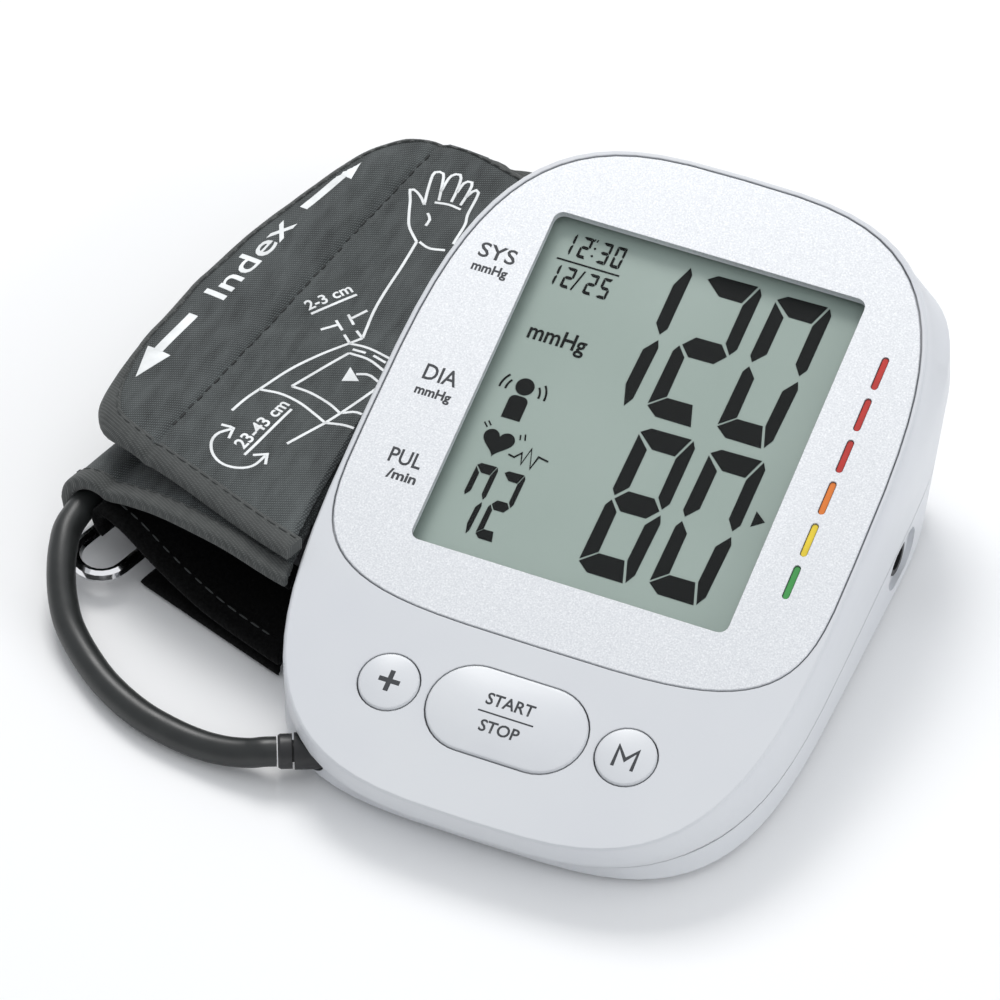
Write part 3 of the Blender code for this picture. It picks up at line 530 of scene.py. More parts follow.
def make_hose():
    before_end = PLUG_END - Vector((math.cos(SOCKET_ANGLE), math.sin(SOCKET_ANGLE), 0.0)) * 2.5
    route = [HOSE_MOUTH, cuff(-86.3, -69.0, 10.6)]
    route += [plan(*spot) for spot in HOSE_PLAN + (tuple(before_end), tuple(PLUG_END))]
    line = smooth_line(route, 6)
    curve = bpy.data.curves.new("air_hose_rubber", "CURVE")
    curve.dimensions = "3D"
    curve.bevel_depth = HOSE_RADIUS * MM
    curve.bevel_resolution = 7
    curve.use_fill_caps = True
    spline = curve.splines.new("POLY")
    spline.points.add(len(line) - 1)
    for point, spot in zip(spline.points, line):
        point.co = (*spot, 1.0)
    curve.materials.append(HOSE)
    hose = bpy.data.objects.new("air_hose_rubber", curve)
    bpy.context.scene.collection.objects.link(hose)
    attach(hose, "cuff")
    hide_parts("air_hose")


make_hose()


# ---------------------------------------------------------------- display and labels

PRINT_DEPTH = 0.03
LCD_LOW = -3.58
LCD_HIGH = -3.5
CELL_WIDTH = 12.0
CELL_HEIGHT = 34.4
DIGIT_LEAN = 0.03

SEGMENT_SHAPES = {
    "a": ((0.1, 32.8), (1.9, 34.2), (10.4, 34.4), (8.7, 29.8), (3.8, 29.8)),
    "b": ((10.9, 34.2), (11.8, 32.7), (12.0, 19.5), (11.0, 17.8), (9.3, 20.1), (9.1, 29.4)),
    "c": ((11.3, 16.5), (12.0, 14.8), (11.8, 2.4), (10.7, 0.3), (9.1, 5.0), (9.2, 13.5)),
    "d": ((3.2, 4.7), (8.6, 4.8), (10.2, 0.0), (2.6, 0.0), (0.1, 1.9)),
    "e": ((0.8, 16.7), (2.8, 14.4), (3.0, 5.0), (0.0, 2.4), (0.0, 15.2)),
    "f": ((0.0, 32.2), (2.9, 29.4), (3.0, 20.4), (0.9, 17.8), (0.0, 19.1)),
    "g": ((3.2, 19.5), (8.7, 19.6), (10.7, 17.3), (8.8, 14.9), (3.4, 14.8), (1.2, 17.1)),
}
DIGIT_SEGMENTS = {
    "0": "abcdef", "1": "bc", "2": "abged", "3": "abgcd", "5": "afgcd", "7": "abcf", "8": "abcdefg",
}


def add_digit(points, faces, digit, left, bottom, width, height):
    for segment in DIGIT_SEGMENTS[digit]:
        polygon = []
        for x, y in SEGMENT_SHAPES[segment]:
            rise = y * height / CELL_HEIGHT
            polygon.append((left + x * width / CELL_WIDTH + DIGIT_LEAN * rise, bottom + rise))
        add_prism(points, faces, polygon, LCD_LOW, LCD_HIGH, face)


def arc_line(centre, radius, start, end, count=10):
    angles = [math.radians(start + (end - start) * i / count) for i in range(count + 1)]
    return [(centre[0] + radius * math.cos(a), centre[1] + radius * math.sin(a)) for a in angles]


def heart_outline(centre, width):
    """The usual heart curve, drawn about its own middle."""
    outline = []
    for i in range(48):
        t = 2.0 * math.pi * i / 48
        x = 16.0 * math.sin(t) ** 3
        y = 13.0 * math.cos(t) - 5.0 * math.cos(2 * t) - 2.0 * math.cos(3 * t) - math.cos(4 * t)
        outline.append((centre[0] + x * width / 32.0, centre[1] + y * width / 32.0))
    return outline


def make_lcd_content():
    points, faces = [], []

    def filled(outline):
        add_prism(points, faces, outline, LCD_LOW, LCD_HIGH, face)

    for digit, left in zip("120", (-15.8, -0.8, 14.2)):
        add_digit(points, faces, digit, left, 3.1, CELL_WIDTH, CELL_HEIGHT)
    for digit, left in zip("80", (-0.8, 14.2)):
        add_digit(points, faces, digit, left, -33.9, CELL_WIDTH, CELL_HEIGHT)
    for digit, left in zip("72", (-28.4, -22.5)):
        add_digit(points, faces, digit, left, -33.8, 4.6, 16.0)
    for digit, left in zip("1230", (-30.6, -27.1, -22.8, -19.8)):
        add_digit(points, faces, digit, left, 32.3, 2.1, 5.1)
    for digit, left in zip("1225", (-31.1, -27.7, -22.8, -19.8)):
        add_digit(points, faces, digit, left, 24.8, 2.1, 4.9)
    for height in (33.5, 35.3):
        filled(arc_line((-24.0, height), 0.26, 0.0, 330.0, 11))
    strokes = [
        ([(-30.6, 30.9), (-17.0, 30.9)], 0.34),
        ([(-25.2, 24.8), (-23.9, 29.7)], 0.34),
        ([(-24.6, 37.4), (-24.8, 36.8)], 0.26),
        ([(-24.0, 37.4), (-24.2, 36.8)], 0.26),
        ([(-22.9, -14.3), (-21.6, -14.6), (-20.4, -13.2), (-19.7, -15.6), (-18.9, -11.7), (-17.6, -16.0),
          (-16.9, -13.0), (-14.7, -13.4)], 0.36),
        (arc_line((-26.0, -0.3), 4.5, 138.0, 182.0), 0.42),
        (arc_line((-26.0, -0.3), 3.2, 142.0, 184.0), 0.42),
        (arc_line((-25.3, -0.3), 3.3, -6.0, 38.0), 0.42),
        (arc_line((-25.3, -0.3), 4.6, -6.0, 38.0), 0.42),
        ([(-30.2, -9.0), (-29.3, -9.9)], 0.3),
        ([(-29.5, -8.5), (-28.7, -9.3)], 0.3),
        ([(-22.2, -9.5), (-21.9, -10.6)], 0.3),
        ([(-21.3, -9.1), (-20.9, -10.4)], 0.3),
    ]
    for line, width in strokes:
        add_ribbon(points, faces, line, width, LCD_LOW, LCD_HIGH, face)
    filled(arc_line((-25.5, 1.0), 1.95, 0.0, 345.0, 23))
    torso = [(-27.6, -6.8), (-23.6, -6.8), (-23.6, -3.0)]
    torso += arc_line((-24.9, -2.6), 1.3, 0.0, 90.0, 5) + arc_line((-26.3, -2.6), 1.3, 90.0, 180.0, 5)
    filled(torso)
    filled(heart_outline((-26.0, -12.4), 6.6))
    filled([(31.1, -12.2), (28.7, -10.4), (28.7, -14.0)])
    add_text(points, faces, "mmHg", (-23.4, 13.4), (12.4, 3.8), LCD_LOW, LCD_HIGH, face, weight=0.07)
    add_mesh("display_digits", points, faces, LCD_INK, "monitor", "display")


def make_face_labels():
    points, faces = [], []
    labels = (
        ("SYS", (-41.2, 26.0), (7.9, 3.5)), ("mmHg", (-41.4, 22.1), (7.7, 2.1)),
        ("DIA", (-41.4, -3.9), (7.2, 3.7)), ("mmHg", (-41.4, -8.1), (7.7, 2.1)),
        ("PUL", (-40.9, -23.6), (6.9, 3.5)), ("/min", (-40.2, -27.6), (6.3, 2.2)),
    )
    for words, centre, size in labels:
        weight = 0.06 if size[1] > 3.0 else 0.09
        add_text(points, faces, words, centre, size, 0.005, PRINT_DEPTH, face, weight=weight)
    add_mesh("face_lettering", points, faces, LETTERING, "monitor", "black_plastic")


BUTTON_TOP = 0.5


def make_button_labels():
    top = BUTTON_TOP + PRINT_DEPTH
    low = BUTTON_TOP + 0.004
    points, faces = [], []
    cross = [(-2.2, 0.5), (-0.5, 0.5), (-0.5, 2.3), (0.5, 2.3), (0.5, 0.5), (2.2, 0.5),
             (2.2, -0.5), (0.5, -0.5), (0.5, -2.3), (-0.5, -2.3), (-0.5, -0.5), (-2.2, -0.5)]
    add_prism(points, faces, [(x - 24.9, y - 70.5) for x, y in cross], low, top, face)
    add_mesh("plus_sign", points, faces, LETTERING, "plus_button", "black_plastic")

    points, faces = [], []
    add_text(points, faces, "START", (-0.3, -67.8), (10.0, 2.6), low, top, face, weight=0.06)
    add_text(points, faces, "STOP", (-0.4, -73.6), (8.2, 2.6), low, top, face, weight=0.06)
    add_ribbon(points, faces, [(-6.0, -70.6), (5.6, -70.6)], 0.32, low, top, face)
    add_mesh("start_stop_lettering", points, faces, LETTERING, "start_stop_button", "black_plastic")

    points, faces = [], []
    letter = [(23.1, -73.3), (23.1, -68.9), (25.1, -71.4), (27.1, -68.9), (27.1, -73.3)]
    add_ribbon(points, faces, letter, 0.7, low, top, face)
    add_mesh("memory_letter", points, faces, LETTERING, "memory_button", "black_plastic")


make_lcd_content()
make_face_labels()
make_button_labels()


# ---------------------------------------------------------------- cuff layers

CLEARANCE_HALF_WIDTH = 55.2
CLEARANCE_CENTRE = -17.0
CLEARANCE_FRONT = -93.4
CLEARANCE_BACK = 58.1
CLEARANCE_FRONT_EXPONENT = 3.3
CLEARANCE_BACK_EXPONENT = 7.0
INNER_END = -20.5


def near_monitor(m, n):
    """True inside the upright column that the desk unit takes up."""
    x = m * CUFF_M.x + n * CUFF_N.x
    y = m * CUFF_M.y + n * CUFF_N.y - CLEARANCE_CENTRE
    reach = CLEARANCE_BACK - CLEARANCE_CENTRE if y > 0 else CLEARANCE_CENTRE - CLEARANCE_FRONT
    exponent = CLEARANCE_BACK_EXPONENT if y > 0 else CLEARANCE_FRONT_EXPONENT
    return abs(x / CLEARANCE_HALF_WIDTH) ** exponent + abs(y / reach) ** exponent < 1.0


def right_limit(n, start=-100.0):
    """How far right a layer reaches at this n before it meets the desk unit."""
    m = start
    while m < INNER_END and not near_monitor(m, n):
        m += 0.25
    return min(m, INNER_END)


def edge_profile(distance, radius):
    """0 at an edge, rising round to 1 at the given radius from it."""
    if distance >= radius:
        return 1.0
    return math.sqrt(max(0.0, 1.0 - (1.0 - distance / radius) ** 2))


def closed_slab(name, middles, normals, halves, material, body, slot):
    """Joins a grid's upper and lower skins into one closed sheet."""
    rows, columns = len(middles), len(middles[0])
    points = []
    for sign in (1.0, -1.0):
        for j in range(rows):
            for i in range(columns):
                points.append(middles[j][i] + normals[j][i] * halves[j][i] * sign * MM)
    lower = rows * columns
    faces = []
    for j in range(rows - 1):
        for i in range(columns - 1):
            a = j * columns + i
            faces.append([a, a + 1, a + columns + 1, a + columns])
            faces.append([lower + a, lower + a + columns, lower + a + columns + 1, lower + a + 1])
    rim = [i for i in range(columns)]
    rim += [j * columns + columns - 1 for j in range(1, rows)]
    rim += [(rows - 1) * columns + i for i in reversed(range(columns - 1))]
    rim += [j * columns for j in reversed(range(1, rows - 1))]
    for k, corner in enumerate(rim):
        after = rim[(k + 1) % len(rim)]
        faces.append([corner, lower + corner, lower + after, after])
    return add_mesh(name, points, faces, material, body, slot)


def grid_normals(middles):
    rows, columns = len(middles), len(middles[0])
    normals = []
    for j in range(rows):
        row = []
        for i in range(columns):
            along = middles[j][min(columns - 1, i + 1)] - middles[j][max(0, i - 1)]
            across = middles[min(rows - 1, j + 1)][i] - middles[max(0, j - 1)][i]
            row.append(along.cross(across).normalized())
        normals.append(row)
    return normals


def spaced(start, end, edge_steps, pitch):
    """Values from start to end, closer together at both ends."""
    inner = (end - start) - 2 * edge_steps[-1]
    count = max(2, round(inner / pitch))
    values = [start + step for step in edge_steps]
    values += [start + edge_steps[-1] + inner * i / count for i in range(1, count)]
    values += [end - step for step in reversed(edge_steps)]
    return values


EDGE_STEPS = (0.0, 0.12, 0.35, 0.7, 1.2, 2.0, 3.0, 4.0)


class Layer:
    """A sheet bent along a path of (m, z) points, from its free left end to the desk unit."""

    def __init__(self, path, near, far, skew=0.0, wave=0.0, wave_length=40.0):
        self.path = evenly(smooth_line(path, 8), 0.4)
        self.near = near
        self.far = far
        self.skew = skew
        self.wave = wave
        self.wave_length = wave_length

    def reach(self, n):
        """Length along the path until it meets the desk unit at this n."""
        limit = right_limit(n)
        lowest = min(range(len(self.path)), key=lambda k: self.path[k].x)
        travelled = 0.0
        for k in range(1, len(self.path)):
            if k > lowest and self.path[k].x > limit:
                break
            travelled += (self.path[k] - self.path[k - 1]).length
        return travelled

    def spot(self, distance, n):
        """Position at a distance along the path, with the layer's slow waves."""
        pitch = 0.4
        index = min(len(self.path) - 2, max(0, int(distance / pitch)))
        share = distance / pitch - index
        here = self.path[index].lerp(self.path[index + 1], share)
        shifted = n + self.skew * (here.x + 20.0)
        swell = self.wave * math.sin(2 * math.pi * (n / self.wave_length + distance / 31.0))
        swell += 0.4 * self.wave * math.sin(2 * math.pi * (n / (0.37 * self.wave_length) - distance / 19.0))
        fade = min(1.0, distance / 8.0)
        return cuff(here.x, shifted, here.y + swell * fade)

    def build(self, name, half, material, slot, span=None, steps=EDGE_STEPS, pitch=1.2, grow=0.0, radius=1.2):
        """Makes the sheet, or only the strip of it between two n values."""
        low, high = span or (self.near, self.far)
        rows = spaced(low, high, steps, pitch)
        share_steps = spaced(0.0, 1.0, (0.0, 0.0015, 0.005, 0.01, 0.02, 0.035, 0.06, 0.1), 0.018)
        middles, halves = [], []
        for n in rows:
            length = self.reach(n + self.skew * (self.path[-1].x - 10.0))
            middles.append([self.spot(length * share, n) for share in share_steps])
            row = []
            for share in share_steps:
                distance = length * share
                across = min(n - low, high - n)
                profile = edge_profile(across, radius) * edge_profile(distance, radius)
                profile *= edge_profile(length - distance, 0.6)
                row.append((half + grow) * (0.12 + 0.88 * profile))
            halves.append(row)
        return closed_slab(name, middles, grid_normals(middles), halves, material, "cuff", slot)


def add_stitch(points, faces, start, end, up, radius):
    """Adds one lying thread between two holes: a six-sided pod."""
    along = end - start
    length = along.length
    if not length:
        return
    along = along / length
    side = along.cross(up).normalized()
    lift = side.cross(along).normalized()
    base = len(points)
    stations = ((0.0, 0.25), (0.15, 0.85), (0.5, 1.0), (0.85, 0.85), (1.0, 0.25))
    for share, size in stations:
        centre = start + along * length * share
        for k in range(6):
            angle = math.pi * k / 3.0
            points.append(centre + (side * math.cos(angle) + lift * math.sin(angle)) * radius * size)
    for ring in range(len(stations) - 1):
        for k in range(6):
            a = base + 6 * ring + k
            b = base + 6 * ring + (k + 1) % 6
            faces.append([a, b, b + 6, a + 6])
    faces.append([base + k for k in reversed(range(6))])
    faces.append([base + 6 * (len(stations) - 1) + k for k in range(6)])


def add_seam(points, faces, line, ups, stitch=2.2, gap=0.9, radius=0.22):
    """Adds a row of stitches along a line of points in metres; ups are its surface normals."""
    travelled = 0.0
    start = None
    for k in range(1, len(line)):
        travelled += (line[k] - line[k - 1]).length / MM
        phase = travelled % (stitch + gap)
        if phase < stitch:
            if start is None:
                start = k
        elif start is not None:
            add_stitch(points, faces, line[start], line[k], ups[k], radius * MM)
            start = None


LAYER_HALF = 1.2
TAPE_WIDTH = 4.6
SIDE_TAPE_WIDTH = 1.7
TAPE_GROWTH = 0.32

WRAP_SKEW = 0.07


def arc_path(centre, radius, start, end, count):
    return [Vector(spot) for spot in arc_line(centre, radius, start, end, count)]


def path_points(*spots):
    return [Vector(spot) for spot in spots]


wrap_curl = arc_path((-82.4, 9.0), 8.4, 225.0, 72.0, 10)
WRAP = Layer(
    wrap_curl + path_points((-74.0, 19.4), (-64.0, 21.8), (-50.0, 22.4), (-20.0, 21.8)),
    -67.5, 57.5, WRAP_SKEW, 0.22, 46.0,
)
fold_curl = arc_path((-78.0, 10.8), 3.4, 250.0, 90.0, 8)
FOLD = Layer(
    fold_curl + path_points((-72.0, 12.8), (-65.0, 9.6), (-56.0, 6.2), (-46.0, 4.8), (-20.0, 4.4)),
    -73.5, 52.5, 0.0, 0.15, 38.0,
)
BASE = Layer(path_points((-69.0, 1.3), (-60.0, 1.25), (-40.0, 1.2), (-20.0, 1.2)), -73.5, 53.5)
LINING = Layer(path_points((-70.0, 16.2), (-50.0, 16.2), (-20.0, 16.2)), -65.0, 50.0)


def bound_layer(layer, name, node, material, slot, half, tape=TAPE, tape_slot="grey_fabric"):
    """A sheet with a sewn binding tape along its near and far edges."""
    cloth = layer.build(name, half, material, slot, (layer.near + 1.0, layer.far - 1.0))
    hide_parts(node)
    for label, low, high in (
        ("near", layer.near, layer.near + TAPE_WIDTH), ("far", layer.far - TAPE_WIDTH, layer.far),
    ):
        layer.build(
            f"{name}_{label}_tape", half, tape, tape_slot, (low, high),
            (0.0, 0.12, 0.35, 0.7, 1.2, 1.8), 0.8, TAPE_GROWTH, 0.9,
        )
    points, faces = [], []
    for n in (layer.near + TAPE_WIDTH - 0.9, layer.far - TAPE_WIDTH + 0.9):
        length = layer.reach(n + layer.skew * (layer.path[-1].x - 10.0)) - 0.8
        count = int(length / 0.4)
        spots = [layer.spot(0.8 + 0.4 * k, n) for k in range(count - 2)]
        ups = []
        for k, spot in enumerate(spots):
            ahead = spots[min(len(spots) - 1, k + 1)] - spots[max(0, k - 1)]
            ups.append(ahead.cross(CUFF_N).normalized())
        line = [spot + up * (half + TAPE_GROWTH + 0.02) * MM for spot, up in zip(spots, ups)]
        add_seam(points, faces, line, ups)
    add_mesh(f"{name}_stitches", points, faces, THREAD, "cuff", slot)
    return cloth


cloth = bound_layer(WRAP, "cuff_wrap_cloth", "cuff_wrap", FABRIC, "grey_fabric", LAYER_HALF)
cloth = bound_layer(
    FOLD, "cuff_fold_velvet", "cuff_fold", VELVET, "black_fabric", 1.0, VELVET, "black_fabric",
)
base_cloth = BASE.build("cuff_base_velvet", LAYER_HALF, VELVET, "black_fabric")
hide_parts("cuff_base")
lining_cloth = LINING.build("cuff_lining_velvet", 0.6, VELVET, "black_fabric", radius=0.6)
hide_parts("cuff_lining")


# ---------------------------------------------------------------- cuff end flap

FLAP_MIDDLE = 26.4
SEAM_FAR = Vector((-90.7, 43.0))
SEAM_NEAR = Vector((-75.6, -58.5))


def flap_left(n):
    """The flap's left edge at this n, with round corners."""
    side = ((-103.5, 5.0), (-102.6, 22.0), (-101.2, 31.0), (-98.0, 38.5), (-92.5, 43.2), (-84.0, 45.5))
    near = ((-103.5, 5.0), (-102.9, -10.0), (-101.5, -22.0), (-98.9, -38.0), (-96.2, -50.0), (-93.6, -58.0),
            (-91.0, -62.0), (-86.0, -64.6))
    line = side if n > 5.0 else near
    for (m_first, n_first), (m_second, n_second) in zip(line, line[1:]):
        if min(n_first, n_second) <= n <= max(n_first, n_second):
            share = (n - n_first) / (n_second - n_first)
            return m_first + (m_second - m_first) * share
    return line[-1][0]


def flap_near(m):
    """The near edge runs almost straight, a little further out by the desk unit."""
    return -64.6 - 0.9 * (m + 86.0) / 48.0


def seam_offset(m, n):
    """Signed distance from the sewn line that crosses the flap, positive to its right."""
    along = (SEAM_FAR - SEAM_NEAR).normalized()
    away = Vector((m, n)) - SEAM_NEAR
    return away.x * along.y - away.y * along.x


def flap_height(m, n, distance):
    """Middle height of the flap: puffed strips, a pressed seam, and a rolled left edge."""
    offset = seam_offset(m, n)
    height = FLAP_MIDDLE
    height -= 0.55 * math.exp(-(offset / 1.1) ** 2)
    height += 0.45 * math.exp(-((offset + 7.0) / 5.0) ** 2)
    height += 0.16 * math.exp(-(offset / 4.0) ** 2) * math.sin(2 * math.pi * n / 6.3)
    height += 0.22 * math.sin(2 * math.pi * (n / 57.0 + m / 43.0))
    height += 0.12 * math.sin(2 * math.pi * (n / 23.0 - m / 31.0))
    roll = max(0.0, 1.0 - (m - flap_left(n)) / 9.0)
    height -= 1.3 * roll * roll
    height -= 0.5 * (1.0 - edge_profile(distance, 5.0))
    return height


def build_flap_line(pitch=0.8):
    """The flap's free edge, from the desk unit's near side round to its far side, and its inward normals."""
    across = [-86.0 + 1.2 * k for k in range(45)]
    near_edge = [Vector((m, flap_near(m))) for m in reversed(across) if m < right_limit(flap_near(m)) - 0.3]
    left_edge = [Vector((flap_left(n), n)) for n in [-64.6 + 1.0 * k for k in range(1, 110)]]
    far_edge = [Vector((-84.0 + 1.2 * k, 45.5)) for k in range(0, 45)]
    far_edge = [spot for spot in far_edge if spot.x < right_limit(45.5) - 0.3]
    line = evenly(near_edge + left_edge + far_edge, 2.0)
    for _ in range(3):
        line = [line[0]] + [
            (a + b * 2.0 + c) / 4.0 for a, b, c in zip(line, line[1:], line[2:])
        ] + [line[-1]]
    line = evenly(line, pitch)
    inward = []
    for k in range(len(line)):
        along = (line[min(len(line) - 1, k + 1)] - line[max(0, k - 1)]).normalized()
        inward.append(Vector((along.y, -along.x)))
    return line, inward


FLAP_EDGE, FLAP_INWARD = build_flap_line()


def tape_width(n):
    """The tape shows wide along the near edge and narrow where the left edge rolls under."""
    share = min(1.0, max(0.0, (-46.0 - n) / 14.0))
    wavy = 0.18 * math.sin(2 * math.pi * n / 17.0) * (1.0 - share)
    return SIDE_TAPE_WIDTH + wavy + (TAPE_WIDTH - SIDE_TAPE_WIDTH) * share


def edge_distance(m, n):
    """Distance from the flap's free edge."""
    here = Vector((m, n))
    return min((here - spot).length for spot in FLAP_EDGE[::2])


def flap_top(m, n):
    return flap_height(m, n, edge_distance(m, n)) + LAYER_HALF


def make_flap():
    inset_line = [spot + inward * (tape_width(spot.y) - 1.0) for spot, inward in zip(FLAP_EDGE, FLAP_INWARD)]
    lowest = min(spot.y for spot in inset_line)
    highest = max(spot.y for spot in inset_line)
    rows = spaced(lowest + 0.05, highest - 0.05, (0.0, 0.4, 0.9, 1.6, 2.5), 1.1)
    middles, halves = [], []
    for n in rows:
        crossings = []
        for first, second in zip(inset_line, inset_line[1:]):
            if (first.y - n) * (second.y - n) <= 0.0 and first.y != second.y:
                share = (n - first.y) / (second.y - first.y)
                crossings.append(first.x + (second.x - first.x) * share)
        left = min(crossings)
        right = right_limit(n) - 0.15
        inner = [x for x in crossings if x > left + 4.0]
        if n < -60.0 and inner:
            right = min(right, max(inner))
        seam = SEAM_NEAR.x + (n - SEAM_NEAR.y) * (SEAM_FAR.x - SEAM_NEAR.x) / (SEAM_FAR.y - SEAM_NEAR.y)
        seam = min(max(seam, left + 3.0), right - 3.0)
        shares = [0.0, 0.06, 0.14, 0.24, 0.36, 0.5, 0.64, 0.76, 0.86, 0.93, 0.97]
        columns = [left + (seam - left) * share for share in shares] + [seam]
        columns += [seam + (right - seam) * (1.0 - share) for share in reversed(shares)]
        extra = []
        for first, second in zip(columns, columns[1:]):
            extra += [first, (first * 2 + second) / 3.0, (first + second * 2) / 3.0]
        columns = extra + [columns[-1]]
        distances = [edge_distance(m, n) for m in columns]
        middles.append([cuff(m, n, flap_height(m, n, d)) for m, d in zip(columns, distances)])
        row = []
        for m in columns:
            row.append(LAYER_HALF * (0.2 + 0.8 * edge_profile(right - m, 0.8)))
        halves.append(row)
    cloth = closed_slab(
        "cuff_flap_cloth", middles, grid_normals(middles), halves, FABRIC, "cuff", "grey_fabric"
    )
    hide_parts("cuff_flap")


def make_flap_tape():
    """A folded tape over the flap's free edge, with its own step down to the cloth."""
    profile = (
        (1.0, 0.0), (0.99, 0.9), (0.93, 1.0), (0.65, 1.0), (0.4, 1.0), (0.2, 0.92), (0.07, 0.68), (0.0, 0.3),
    )
    section = profile + tuple((share, -lift) for share, lift in reversed(profile[1:]))
    points, faces = [], []
    count = len(section)
    for spot, inward in zip(FLAP_EDGE, FLAP_INWARD):
        for share, lift in section:
            distance = share * (tape_width(spot.y) + 0.1) - 0.1
            place = spot + inward * distance
            level = flap_height(place.x, place.y, max(0.0, distance))
            thickness = LAYER_HALF + TAPE_GROWTH if lift else 0.0
            points.append(cuff(place.x, place.y, level + thickness * lift))
    for k in range(len(FLAP_EDGE) - 1):
        for i in range(count):
            a = k * count + i
            b = k * count + (i + 1) % count
            faces.append([a, b, b + count, a + count])
    faces.append([i for i in reversed(range(count))])
    faces.append([(len(FLAP_EDGE) - 1) * count + i for i in range(count)])
    add_mesh("cuff_flap_tape", points, faces, TAPE, "cuff", "grey_fabric")


def make_flap_stitches():
    points, faces = [], []
    line = []
    for spot, inward in zip(FLAP_EDGE, FLAP_INWARD):
        inset = 0.82 * tape_width(spot.y)
        place = spot + inward * inset
        level = flap_height(place.x, place.y, inset) + LAYER_HALF + TAPE_GROWTH + 0.03
        line.append(cuff(place.x, place.y, level))
    add_seam(points, faces, line, [CUFF_Z] * len(line))
    add_mesh("cuff_flap_stitches", points, faces, THREAD, "cuff", "grey_fabric")

    points, faces = [], []
    seam = evenly([SEAM_NEAR, SEAM_FAR], 0.5)
    line = [cuff(spot.x, spot.y, flap_top(spot.x, spot.y) + 0.02) for spot in seam[6:-6]]
    add_seam(points, faces, line, [CUFF_Z] * len(line), 1.9, 1.1, 0.30)
    add_mesh("cuff_seam_stitches", points, faces, DARK_THREAD, "cuff", "grey_fabric")


make_flap()
make_flap_tape()
make_flap_stitches()


# ---------------------------------------------------------------- white prints on the flap

def on_flap(m, n, lift):
    return cuff(m, n, flap_top(m, n) + lift)


PRINT_LOW = -0.05
PRINT_HIGH = 0.06
LINE_WIDTH = 0.62


def drape(points, faces, longest=0.9):
    """Cuts a flat print into small triangles, so that it can follow the cloth."""
    cutter = bmesh.new()
    corners = [cutter.verts.new(point) for point in points]
    for face_corners in faces:
        cutter.faces.new([corners[i] for i in face_corners])
    bmesh.ops.triangulate(cutter, faces=cutter.faces)
    for _ in range(6):
        too_long = [edge for edge in cutter.edges if edge.calc_length() > longest]
        if not too_long:
            break
        bmesh.ops.subdivide_edges(cutter, edges=too_long, cuts=1)
        bmesh.ops.triangulate(cutter, faces=cutter.faces)
    cutter.verts.index_update()
    draped = [on_flap(*vertex.co) for vertex in cutter.verts]
    cut_faces = [[vertex.index for vertex in part.verts] for part in cutter.faces]
    cutter.free()
    return draped, cut_faces


def flat(m, n, lift):
    return Vector((m, n, lift))


